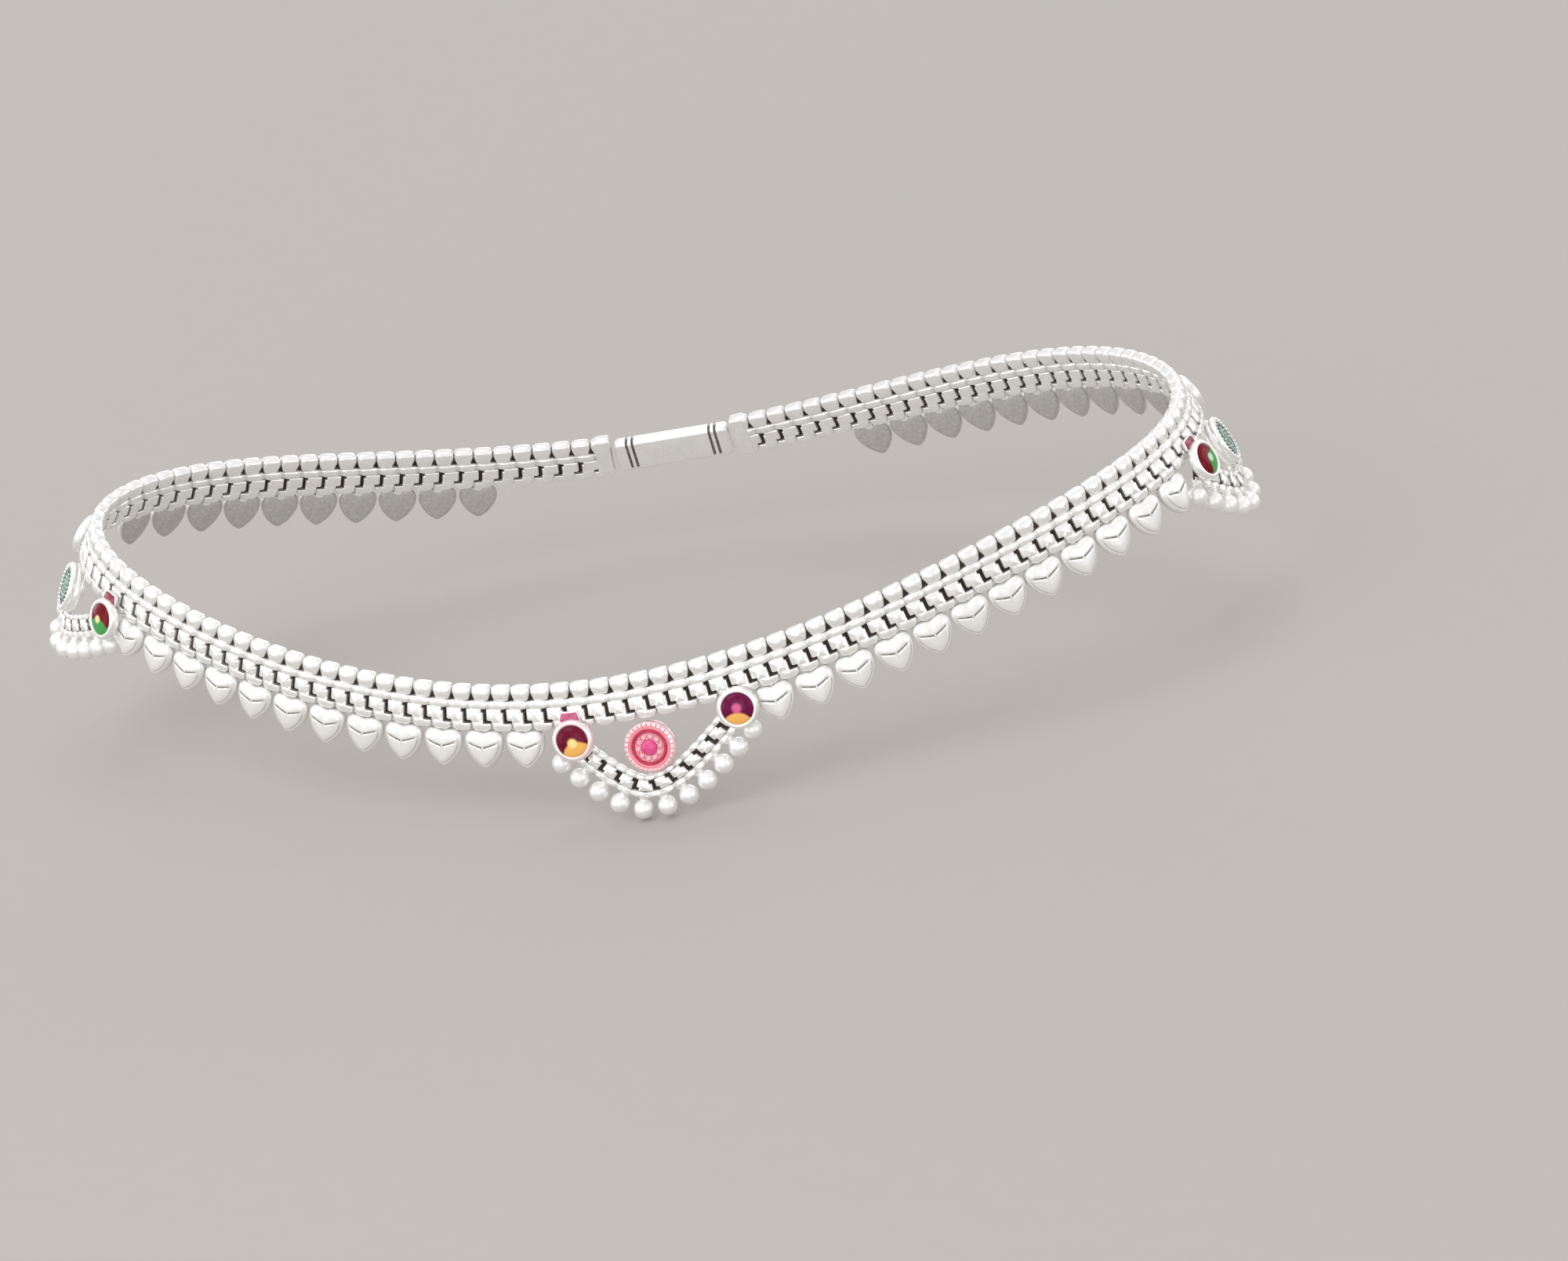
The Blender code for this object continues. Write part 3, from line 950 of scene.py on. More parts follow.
@dataclass
class HeartDrops:
    """Puffed hearts under every second link."""

    width: float = 3.76 * MM
    top: float = 4.42 * MM
    tip: float = 8.10 * MM
    middle_n: float = 0.6 * MM
    front: float = 0.92 * MM
    back: float = 0.34 * MM
    half_outline: Profile = (
        (0.00, -1.06), (0.28, -0.90), (0.62, -0.58), (0.88, -0.20), (1.02, 0.18), (1.06, 0.50), (1.00, 0.82),
        (0.80, 1.03), (0.48, 1.06), (0.20, 1.00), (0.00, 0.92),
    )
    points_round: int = 72
    centre_rise: float = 0.06
    puff_flatness: float = 4.5
    puff_roundness: float = 2.2
    back_flatness: int = 9
    back_shares: tuple[float, ...] = (0.5, 0.8, 0.92, 0.98)
    rim_shares: tuple[float, ...] = (1.0, 0.99, 0.97, 0.94, 0.91, 0.88, 0.86, 0.84, 0.82, 0.79)
    inner_rings: tuple[float, float, float] = (0.75, 0.05, -0.045)
    rim_start: float = 0.985
    # Painted shade: how much the back, the rim, the crease, the ridge and the bevel darken the heart's
    # silver.
    back_painted_shade: float = 0.50
    rim_painted_shade: float = 0.35
    crease_low: float = 0.055
    crease_rise: float = 0.19
    crease_bend: float = 1.2
    crease_fade: tuple[float, float] = (3.2, 3.4)
    crease_depth: float = 0.07 * MM
    crease_width: float = 0.11 * MM
    crease_painted_shade: float = 0.80
    ridge_width: float = 0.12 * MM
    ridge_start: float = 0.03
    ridge_run: float = 0.30
    ridge_painted_shade: float = 0.42
    bevel: float = 0.84
    bevel_width: float = 0.028
    bevel_run: float = 0.1
    bevel_depth: float = 0.09 * MM
    bevel_painted_shade: float = 0.62
    valley_width: float = 0.36 * MM
    valley_run: float = 0.5
    valley_depth: float = 0.04 * MM
    lower_slope: float = 0.07
    lug_reach: float = 0.42 * MM
    lug_low: float = 0.9 * MM
    lug_high: float = 0.3 * MM
    shown: tuple[int, ...] = tuple(side * link for side in (-1, 1) for link in range(6, 29, 2))
    hidden: tuple[int, ...] = tuple(side * link for side in (-1, 1) for link in range(40, 59, 2))

    @property
    def height(self) -> float:
        """The heart's height."""
        return self.tip - self.top

    def outline(self) -> np.ndarray:
        """Draw the heart's outline, with its corners cut three times over and its points evenly spaced.

        Returns:
            The points round the heart's middle.
        """
        half = np.array(self.half_outline)
        line = np.concatenate((half, half[-2:0:-1] * (-1, 1)))
        for _ in range(3):
            after = np.roll(line, -1, 0)
            line = np.stack((0.75 * line + 0.25 * after, 0.25 * line + 0.75 * after), 1).reshape(-1, 2)
        closed = np.concatenate((line, line[:1]))
        along = np.concatenate(([0.0], np.cumsum(np.linalg.norm(np.diff(closed, axis=0), axis=1))))
        even = np.arange(self.points_round) * along[-1] / self.points_round
        line = np.column_stack([np.interp(even, along, closed[:, k]) for k in range(2)])
        low, high = line.min(0), line.max(0)
        return ((line - low) / (high - low) - 0.5) * (self.width, self.height)

    def front_relief(self, x: np.ndarray, y: np.ndarray, share: float) -> tuple[np.ndarray, np.ndarray]:
        """How far the puffed front stands out at points of one ring.

        Args:
            x: Places across the heart.
            y: Places up the heart.
            share: The ring's size, from 0 at the middle to 1 at the outline.

        Returns:
            The heights above the heart's own middle plane, and the points' painted shade.
        """
        height = self.height
        puff = self.front * (1 - share**self.puff_flatness) ** (1 / self.puff_roundness)
        side = np.abs(x) / (self.width / 2)
        crease = height * (self.crease_low + self.crease_rise * side**self.crease_bend)
        below = np.maximum(0, crease - y)
        full, fall = self.crease_fade
        line = bell(y - crease, self.crease_width) * np.clip(full - fall * side, 0, 1)
        valley = bell(x, self.valley_width) * np.clip((y - crease) / (self.valley_run * height), 0, 1)
        edge = bell(share - self.bevel, self.bevel_width) * np.clip(below / (self.bevel_run * height), 0, 1)
        ridge = bell(x, self.ridge_width) * np.clip(below / (self.ridge_start * height), 0, 1)
        ridge *= np.clip(1 - below / (self.ridge_run * height), 0, 1)
        lowered = self.lower_slope * below + self.crease_depth * line + self.valley_depth * valley
        lowered += self.bevel_depth * edge
        # Painted shade: grey lines along the crease, ridge and bevel, and round the rim, stand in for the
        # facets' shading.
        shade_and_tarnish = self.crease_painted_shade * line + self.ridge_painted_shade * ridge + self.bevel_painted_shade * edge
        shade_and_tarnish += self.rim_painted_shade if share > self.rim_start else 0.0
        return np.maximum(puff - lowered * puff / self.front, 0), shade_and_tarnish

    def mesh(self, shop: Workshop) -> bpy.types.Mesh:
        """Make one heart with the lug that it hangs from.

        Args:
            shop: The workshop with its finish.

        Returns:
            The mesh.
        """
        outline, centre = self.outline(), np.array((0.0, self.centre_rise * self.height))
        # Painted shade: the heart's back is darkened all over.
        rows, tones = [[(*centre, -self.back)]], [self.back_painted_shade]
        for share in self.back_shares:
            flat = centre + (outline - centre) * share
            depth = self.back * (1 - share**self.back_flatness) ** 0.5
            rows.append(np.column_stack((flat, np.full(len(flat), -depth))))
            tones.append(self.back_painted_shade)
        for share in (*self.rim_shares, *np.arange(*self.inner_rings)):
            flat = centre + (outline - centre) * share
            relief, tone = self.front_relief(*flat.T, share)
            rows.append(np.column_stack((flat, relief)))
            tones.append(tone)
        crown, _ = self.front_relief(np.zeros(1), centre[1:], 0.0)
        form = Form()
        form.add(capped([*rows, [(*centre, crown[0])]], [*tones, 0.0]))
        half, reach = self.height / 2, self.lug_reach
        lug_outline = rectangle((-reach, half - self.lug_low), (reach, half + self.lug_high), 0.12 * MM)
        lug = Pillow(lug_outline, -0.30 * MM, 0.12 * MM, rounding=0.1 * MM).shape()
        # Painted shade: the lug's sides are darkened at half strength.
        form.add(lug.toned(0.5 * lug.shade_and_tarnish))
        return form.mesh("heart_drop", [shop.soft_silver], 50.0)

    def build(self, shop: Workshop) -> None:
        """Place every heart in its node's place.

        Args:
            shop: The workshop that places them.
        """
        mesh = self.mesh(shop)
        for number, link in enumerate(self.shown + self.hidden, 1):
            matrix = shop.strand.matrix(link * shop.strand.pitch, (self.top + self.tip) / 2, self.middle_n)
            shop.place(mesh, f"heart_{number:02d}", Slot.SILVER, matrix, f"heart_drop_{number:02d}")


@dataclass
class Rosette:
    """A round setting with a beaded bezel, an enamel ring and petals round a dome."""

    radius: float = 2.40 * MM
    height: float = 1.40 * MM
    lip: float = 0.36 * MM
    ring_span: tuple[float, float] = (0.69, 0.865)
    inner_span: tuple[float, float] = (0.575, 0.71)
    petals: int = 10
    petal_reach: float = 0.43
    petal_size: tuple[float, float] = (0.24, 0.23)
    petal_height: float = 0.26 * MM
    petal_flare: float = 0.35
    beads: int = 30
    bead_radius: float = 0.15 * MM
    bead_finish: int = 1
    bead_squash: tuple[float, float, float] = (0.9, 0.62, 0.9)
    grains: Profile = ((0.36, 0.085 * MM), (0.53, 0.075 * MM))
    sides: int = 72
    hoop_steps: int = 8

    def cup(self) -> Profile:
        """Draw the bezel's profile.

        Returns:
            Its radii and heights, from under its middle round to its top.
        """
        r, h, lip = self.radius, self.height, self.lip
        return (
            (0, 0), (r - 0.2 * MM, 0), (r - 0.06 * MM, 0.04 * MM), (r, 0.14 * MM), (r, 0.50 * h),
            (r - 0.05 * MM, 0.54 * h), (r - 0.05 * MM, 0.60 * h), (r, 0.64 * h), (r, h - 0.16 * MM),
            (r - 0.05 * MM, h - 0.06 * MM), (r - 0.14 * MM, h), (r - lip, h - 0.02 * MM),
            (r - lip - 0.04 * MM, h - 0.10 * MM), (r - lip - 0.05 * MM, h - 0.22 * MM), (0, h - 0.22 * MM),
        )

    def ring(self, form: Form, shape: Shape, count: int, finish: int, phase: float = 0.0) -> None:
        """Add copies of a shape all round the middle.

        Args:
            form: The form that takes them.
            shape: The shape in its place on the X side.
            count: How many copies there are.
            finish: The number of their material.
            phase: How far round the first one stands, in steps.
        """
        for k in range(count):
            form.add(shape.moved(spun(shape.points, 2 * math.pi * (k + phase) / count)), finish)

    def hoop(self, span: tuple[float, float], crest: float) -> Shape:
        """Shape a rounded enamel hoop.

        Args:
            span: Its inner and its outer radius, as shares of the rosette's.
            crest: How high its top stands.

        Returns:
            The hoop.
        """
        steps, sides = self.hoop_steps, self.sides
        inner, outer = (share * self.radius for share in span)
        half, middle, low = (outer - inner) / 2, (outer + inner) / 2, self.height - 0.24 * MM
        leans = np.arange(steps) * 2 * math.pi / steps
        up = np.sin(leans)
        rise = np.maximum(0, up) ** 0.8 * (crest - low) - np.where(up < -0.1, 0.05 * MM, 0)
        section = np.column_stack((middle + half * np.cos(leans), np.zeros(steps), low + rise))
        points = np.concatenate([spun(section, 2 * math.pi * i / sides) for i in range(sides)])
        faces = []
        for i in range(sides):
            here, there = i * steps, (i + 1) % sides * steps
            for k in range(steps):
                m = (k + 1) % steps
                faces.append((here + k, there + k, there + m, here + m))
        return Shape(points, faces, np.zeros(len(points)))

    def petal(self) -> Shape:
        """Shape a rounded petal that points outwards.

        Returns:
            The petal on the X side.
        """
        drop, r = ball(1.0, 14, 8), self.radius
        length, width = self.petal_size
        shaped = drop.points * (length * r / 2, width * r / 2, self.petal_height)
        shaped[:, 1] *= 1 + self.petal_flare * drop.points[:, 0]
        return drop.moved(shaped + (self.petal_reach * r, 0, self.height - 0.2 * MM))

    def form(self) -> Form:
        """Put the rosette together. Finishes: bezel, ring, inner hoop, petals, dome.

        Returns:
            The form.
        """
        form = Form()
        r, h = self.radius, self.height
        form.add(turned(self.cup(), self.sides))
        bead = ball(self.bead_radius, 10, 6)
        bead = bead.moved(bead.points * self.bead_squash + (r - 0.55 * self.lip, 0, h - 0.02 * MM))
        self.ring(form, bead, self.beads, self.bead_finish)
        form.add(self.hoop(self.ring_span, h - 0.05 * MM), 1)
        form.add(self.hoop(self.inner_span, h + 0.03 * MM), 2)
        floor = ((0, h - 0.3 * MM), (0.62 * r, h - 0.3 * MM), (0.62 * r, h - 0.17 * MM), (0, h - 0.15 * MM))
        form.add(turned(floor, self.sides), 1)
        self.ring(form, self.petal(), self.petals, 3)
        dome = (
            (0, h - 0.3 * MM), (0.30 * r, h - 0.3 * MM), (0.31 * r, h - 0.08 * MM),
            (0.27 * r, h + 0.02 * MM), (0.15 * r, h + 0.09 * MM), (0, h + 0.12 * MM),
        )
        form.add(turned(dome, self.sides // 2), 4)
        for share, radius in self.grains:
            grain = ball(radius, 8, 6)
            grain = grain.moved(grain.points + (share * r, 0, h - 0.02 * MM))
            self.ring(form, grain, self.petals, 0, 0.5)
        return form


@dataclass
class Stud:
    """A round stud with a domed two-tone field, and on some a small enamelled tab."""

    radius: float = 1.99 * MM
    height: float = 0.90 * MM
    lip: float = 0.50 * MM
    crown: float = 0.44 * MM
    dome_steps: int = 12
    post_radius: float = 0.55 * MM
    sides: int = 64
    tab_width: float = 2.15 * MM
    tab_height: float = 1.0 * MM
    tab_narrowing: float = 0.8
    tab_place: tuple[float, float] = (-0.12 * MM, 2.20 * MM)

    def rim(self) -> Profile:
        """Draw the metal's profile.

        Returns:
            Its radii and heights, from under its middle round to its top.
        """
        r, h, lip = self.radius, self.height, self.lip
        return (
            (0, -PIECE_GAP), (self.post_radius, -PIECE_GAP), (self.post_radius, 0), (r - 0.2 * MM, 0),
            (r - 0.05 * MM, 0.05 * MM), (r, 0.16 * MM), (r, 0.45 * h), (r - 0.03 * MM, 0.70 * h),
            (r - 0.10 * MM, 0.88 * h), (r - 0.22 * MM, 0.98 * h), (r - 0.34 * MM, h),
            (r - lip + 0.07 * MM, h - 0.02 * MM), (r - lip, h - 0.09 * MM),
            (r - lip - 0.02 * MM, h - 0.22 * MM), (0, h - 0.22 * MM),
        )

    def dome(self) -> Profile:
        """Draw the enamel field's profile.

        Returns:
            Its radii and heights, from under its middle round to its top.
        """
        reach, low = self.radius - self.lip, self.height - 0.16 * MM
        turns = [math.pi / 2 * k / self.dome_steps for k in range(self.dome_steps)]
        arc = [(reach * math.cos(turn), low + self.crown * math.sin(turn)) for turn in turns]
        return [(0, low - 0.1 * MM), (reach, low - 0.1 * MM), *arc, (0, low + self.crown)]

    def form(self, with_tab: bool) -> Form:
        """Put the stud together. Finishes: metal, field, tab.

        Args:
            with_tab: Whether the enamelled tab stands over its rim.

        Returns:
            The form.
        """
        form = Form()
        form.add(turned(self.rim(), self.sides))
        form.add(turned(self.dome(), self.sides), 1)
        x, y = self.tab_place
        layers = ((0.0, -0.12 * MM, 0.20 * MM, 0), (0.10 * MM, 0.1 * MM, 0.27 * MM, 2))
        for inset, back, front, finish in layers if with_tab else ():
            low, top = self.tab_width / 2 - inset, self.tab_narrowing * self.tab_width / 2 - inset
            rise, cut = self.tab_height / 2 - inset, 0.3 * MM - inset
            places = ((x - low, y - rise), (x + low, y - rise), (x + top, y + rise), (x - top, y + rise))
            outline = rounded_outline([(*place, cut) for place in places])
            tab = Pillow(outline, back, front, rounding=0.08 * MM, crown=0.03 * MM).shape()
            # Painted shade: the tab's sides are darkened at reduced strength.
            form.add(tab.toned(0.4 * tab.shade_and_tarnish), finish)
        return form


@dataclass
class Swag:
    """The hung strip: two lumpy borders with woven blocks between them, and balls on short necks."""

    strand: Strand
    middle: float
    width: float = 2.2 * MM
    thickness: float = 0.9 * MM
    back: float = 0.1 * MM
    bend: float = 2.6 * MM
    low_s: float = -1.2 * MM
    ends: tuple[float, float] = (0.4 * MM, -0.6 * MM)
    clearance: float = 0.4 * MM
    stud_links: tuple[float, float] = (-3.55, 4.3)
    ball_radius: float = 0.93 * MM
    ball_counts: tuple[int, int] = (5, 6)
    neck_length: float = 0.15 * MM
    neck_radius: float = 0.46 * MM
    neck_sink: float = 0.2 * MM
    inner_border: float = 0.60 * MM
    outer_border: float = 0.70 * MM
    outer_recess: float = 0.04 * MM
    lump_pitch: float = 1.05 * MM
    lump_depth: float = 0.20
    gap: float = 0.30 * MM
    block_pitch: float = 1.7 * MM
    block_overlap: float = 0.10 * MM
    hook_cut: float = 0.24 * MM
    hook_rise: float = 0.34 * MM
    core_edge: float = 0.35 * MM
    core_back: float = 0.4 * MM
    core_front: float = 0.65 * MM
    samples: int = 240

    def row(self, share: float) -> tuple[float, float, float, float]:
        """The middle line at a share of one half.

        Args:
            share: The place along the strip, from -1 at its left end to 1 at its right.

        Returns:
            The point's s and w, and the two parts of the way out to the balls.
        """
        side = -1 if share < 0 else 1
        end = 0 if side < 0 else 1
        reach = abs(self.stud_links[end] * self.strand.pitch - self.low_s) + self.ends[end]
        high = BAND_HEIGHT + PIECE_GAP + self.width / 2
        low = high + 2 * ROSETTE_RADIUS + self.clearance
        full_rise = math.sqrt((low - high + self.bend) ** 2 - self.bend**2)
        rise = full_rise * abs(share)
        slope = full_rise * rise / math.hypot(rise, self.bend) / reach
        length = math.hypot(1, slope)
        w = low + self.bend - math.hypot(rise, self.bend)
        return self.low_s + share * reach, w, side * slope / length, 1 / length

    def measured(self, offset: float = 0.0) -> tuple[np.ndarray, np.ndarray]:
        """Measure the strip along a line beside its middle line.

        Args:
            offset: How far out the line lies.

        Returns:
            Shares along the strip, and their distances from its lowest point.
        """
        shares = np.linspace(-1, 1, 2 * self.samples + 1)
        rows = np.array([self.row(t) for t in shares])
        path = rows[:, :2] + offset * rows[:, 2:]
        along = np.concatenate(([0.0], np.cumsum(np.linalg.norm(np.diff(path, axis=0), axis=1))))
        return shares, along - along[self.samples]

    def bent(self, shape: Shape, start: float = 0.0) -> Shape:
        """Bend a shape along the strip.

        Args:
            shape: The shape, with points of distance along the strip, distance outwards across it, and n.
            start: Where its origin goes along the strip.

        Returns:
            The shape in the model.
        """
        shares, along = self.measured()
        rows = np.array([self.row(t) for t in np.interp(shape.points[:, 0] + start, along, shares)])
        s = self.middle + rows[:, 0] + shape.points[:, 1] * rows[:, 2]
        w = rows[:, 1] + shape.points[:, 1] * rows[:, 3]
        return self.strand.laid(shape.moved(np.column_stack((s, w, shape.points[:, 2]))))

    def block(self, pitch: float) -> Shape:
        """Shape one woven block, with the cut corners of the hooked gaps.

        Args:
            pitch: How far the blocks are apart.

        Returns:
            The block in strip coordinates.
        """
        left, right, cut, rise = self.gap / 2, pitch - self.gap / 2, self.hook_cut, self.hook_rise
        top = -self.width / 2 + self.inner_border - self.block_overlap
        bottom = self.width / 2 - self.outer_border + self.block_overlap
        places = (
            (left, top), (right - cut, top), (right - cut, top + rise), (right, top + rise),
            (right, bottom), (left + cut, bottom), (left + cut, bottom - rise), (left, bottom - rise),
        )
        outline = rounded_outline([(*place, 0.09 * MM) for place in places], 3)
        back, front = self.back + 0.04 * MM, self.back + self.thickness
        return Pillow(outline, back, front, rounding=0.16 * MM, crown=0.06 * MM, dark=0.6).shape()

    def swept(self, section: np.ndarray, lumps: float) -> Shape:
        """Sweep a closed section along the strip.

        Args:
            section: Rows of distance across the strip and n.
            lumps: How much thinner it gets between two lumps, as a share.

        Returns:
            The shape in the model.
        """
        _, along = self.measured()
        run = along[-1] - along[0]
        count = round(run / self.lump_pitch)
        turns = np.linspace(0, 1, 8 * count + 1)
        troughs = np.abs(np.cos(math.pi * turns * count)) ** 4
        middle = section.mean(0)
        sections = [middle + (section - middle) * (1 - lumps * trough) for trough in troughs]
        # Painted shade: the troughs between lumps and the strip's ends are greyed.
        return self.bent(lofted(along[0] + turns * run, sections, middle, 2.0 * lumps * troughs, 0.2))

    def border(self, low: float, high: float, front: float) -> np.ndarray:
        """Draw a border's section, a squared oval.

        Args:
            low: Its inner distance across the strip.
            high: Its outer distance across the strip.
            front: How far it stands out.

        Returns:
            Rows of distance across the strip and n.
        """
        turns = np.arange(12) * math.pi / 6
        across, depth = squared(np.cos(turns), 0.65), squared(np.sin(turns), 0.65)
        half_n = (front - self.back) / 2
        places = (low + high) / 2 + (high - low) / 2 * across
        return np.column_stack((places, self.back + half_n + half_n * depth))

    def form(self) -> Form:
        """Put the swag together. Finishes: silver, core, soft silver.

        Returns:
            The form.
        """
        form = Form()
        half, front = self.width / 2, self.back + self.thickness
        low, high, reach = self.core_back, self.core_front, self.width / 2 - self.core_edge
        core = np.array(((-reach, low), (-reach, high), (reach, high), (reach, low)))
        inner = self.border(-half, self.inner_border - half, front)
        outer = self.border(half - self.outer_border, half, front - self.outer_recess)
        # The black core strip is painted shade behind the swag's gaps.
        form.add(self.swept(core, 0.0), 1)
        for border in (inner, outer):
            form.add(self.swept(border, self.lump_depth))
        _, along = self.measured()
        run = along[-1] - along[0]
        blocks = round(run / self.block_pitch)
        block = self.block(run / blocks)
        for k in range(blocks):
            form.add(self.bent(block, along[0] + k * run / blocks))
        self.add_balls(form)
        return form

    def add_balls(self, form: Form) -> None:
        """Add the balls and their necks, evenly spaced along each half.

        Args:
            form: The form that takes them.
        """
        reach = self.width / 2 + self.neck_length + self.ball_radius
        root_reach = self.width / 2 - self.neck_sink
        shares, along = self.measured(reach)
        middle_n = self.back + self.thickness / 2
        drop = ball(self.ball_radius, 28, 16)
        for side, count, end in zip((-1, 1), self.ball_counts, (-along[0], along[-1])):
            spacing = (end - self.neck_radius) / (count - 0.5)
            for k in range(count):
                s, w, ds, dw = self.row(float(np.interp(side * spacing * (k + 0.5), along, shares)))
                spots = [(self.middle + s + v * ds, w + v * dw, middle_n) for v in (reach, root_reach)]
                centre, root = self.strand.points(np.array(spots))
                placed = drop.moved(drop.points + centre)
                near = np.linalg.norm(placed.points - root, axis=1) / self.ball_radius
                # Painted shade: each ball darkens near the root of its neck.
                form.add(placed.toned(0.35 * np.clip(1.0 - near, 0, 1)), 2)
                form.add(self.neck(centre, root), 2)

    def neck(self, centre: np.ndarray, root: np.ndarray) -> Shape:
        """Shape a short waisted neck.

        Args:
            centre: The ball's middle.
            root: Where the neck leaves the strip.

        Returns:
            The neck in the model.
        """
        way, r = Vector(centre - root), self.neck_radius
        length = way.length - 0.6 * self.ball_radius
        profile = (
            (0, 0), (1.25 * r, 0), (1.05 * r, 0.25 * length), (0.9 * r, 0.55 * length),
            (1.05 * r, 0.8 * length), (1.3 * r, length), (0, length),
        )
        waisted = turned(profile, 14)
        turn = np.array(way.to_track_quat("Z", "Y").to_matrix())
        # Painted shade: the neck is greyed all over.
        return waisted.moved(waisted.points @ turn.T + root).toned(0.25)


class Place(Enum):
    """Where a motif sits round the loop, in links from the front."""

    FRONT = 0.0
    HEEL = -33.7
    INSTEP = 33.7

    @property
    def prefix(self) -> str:
        """The first word of the motif's nodes."""
        return self.name.lower()


@dataclass
class MotifFinishes:
    """The finishes of one motif's rosette and studs."""

    rosette: tuple[Silver | Enamel, ...]
    rosette_slot: Slot
    studs: tuple[TwoToneEnamel, TwoToneEnamel]
    stud_slot: Slot
    tabs: tuple[bool, bool]
    tab: Enamel


@dataclass
class Motif:
    """A rosette between two studs, over a swag."""

    place: Place
    finishes: MotifFinishes
    rosette: Rosette = field(default_factory=Rosette)
    stud: Stud = field(default_factory=Stud)
    rosette_shift: float = -0.3 * MM
    rosette_back: float = 0.4 * MM
    stud_drop: float = 0.85 * MM

    def build(self, shop: Workshop) -> None:
        """Build the motif's four pieces.

        Args:
            shop: The workshop that places them.
        """
        strand, prefix, finishes = shop.strand, self.place.prefix, self.finishes
        middle = self.place.value * strand.pitch
        swag = Swag(strand, middle)
        mesh = swag.form().mesh(prefix + "_swag_weave", [shop.silver, shop.core, shop.soft_silver])
        shop.place(mesh, prefix + "_swag", Slot.SILVER)
        enamels = [finish.material() for finish in finishes.rosette]
        mesh = self.rosette.form().mesh(prefix + "_rosette_setting", enamels, 50.0)
        depth = BAND_HEIGHT + PIECE_GAP + ROSETTE_RADIUS
        matrix = strand.matrix(middle + self.rosette_shift, depth, self.rosette_back)
        shop.place(mesh, prefix + "_rosette", finishes.rosette_slot, matrix)
        tab = finishes.tab.material()
        sides = zip(("left", "right"), swag.stud_links, finishes.studs, finishes.tabs)
        for side, links, enamel, with_tab in sides:
            node = f"{prefix}_stud_{side}"
            metal = shop.blush_silver if self.place is Place.FRONT and with_tab else shop.silver
            mesh = self.stud.form(with_tab).mesh(node + "_dome", [metal, enamel.material(), tab], 50.0)
            depth, out = BAND_HEIGHT + self.stud_drop, BAND_THICKNESS + PIECE_GAP
            matrix = strand.matrix(middle + links * strand.pitch, depth, out)
            shop.place(mesh, node, finishes.stud_slot, matrix)


@dataclass
class Clasp:
    """The closing bar at the back: a grooved box with a thumb tab and a rivet at each end."""

    height: float = 3.4 * MM
    thickness: float = 1.4 * MM
    middle_w: float = 2.3 * MM
    middle_n: float = 0.6 * MM
    corner_cut: float = 0.42 * MM
    tab_start: float = 1.2 * MM
    tab_end: float = 3.0 * MM
    tab_half: float = 0.9 * MM
    tab_sink: float = 0.2 * MM
    tab_lift: float = 0.18 * MM
    rivet_radius: float = 0.34 * MM
    rivet_share: float = 0.86
    marks: Profile = (
        (1.0, 0.78), (0.985, 0.90), (0.955, 0.97), (0.92, 1.0), (0.80, 1.0), (0.79, 0.9), (0.76, 0.9),
        (0.75, 1.0), (0.70, 1.0), (0.69, 0.9), (0.66, 0.9), (0.65, 1.0), (0.30, 1.0), (0.10, 1.0),
    )

    def box(self) -> Shape:
        """Shape the grooved box from its marks: shares of the half length, and the section's size there.

        Returns:
            The box about its own middle.
        """
        stations = [(-x, size) for x, size in self.marks] + [(x, size) for x, size in reversed(self.marks)]
        sections, tones = [], []
        for x, size in stations:
            grooved = size < 0.95
            a, b = self.height / 2 * size, self.thickness / 2 * (0.94 * size if grooved else size)
            sections.append(rectangle((-a, -b), (a, b), self.corner_cut))
            # Painted shade: the grooves away from the ends are dark, and the box's end points are greyed.
            tones.append(0.8 if grooved and abs(x) < 0.9 else 0.0)
        return lofted([x * CLASP_LENGTH / 2 for x, _ in stations], sections, (0, 0), tones, 0.2)

    def form(self) -> Form:
        """Put the clasp together.

        Returns:
            The form about its own middle.
        """
        form = Form()
        form.add(self.box())
        front = self.thickness / 2
        outline = rectangle((self.tab_start, -self.tab_half), (self.tab_end, self.tab_half), 0.3 * MM)
        form.add(Pillow(outline, front - self.tab_sink, front + self.tab_lift, rounding=0.12 * MM).shape())
        rivet = ball(self.rivet_radius, 16, 10)
        for side in (-1, 1):
            place = (side * self.rivet_share * CLASP_LENGTH / 2, 0, front)
            form.add(rivet.moved(rivet.points * (1, 1, 0.6) + place))
        return form

    def build(self, shop: Workshop) -> None:
        """Build the clasp in its node's place."""
        matrix = shop.strand.matrix(shop.strand.length / 2, self.middle_w, self.middle_n)
        shop.place(self.form().mesh("clasp_box", [shop.silver], 30.0), "clasp", Slot.SILVER, matrix)


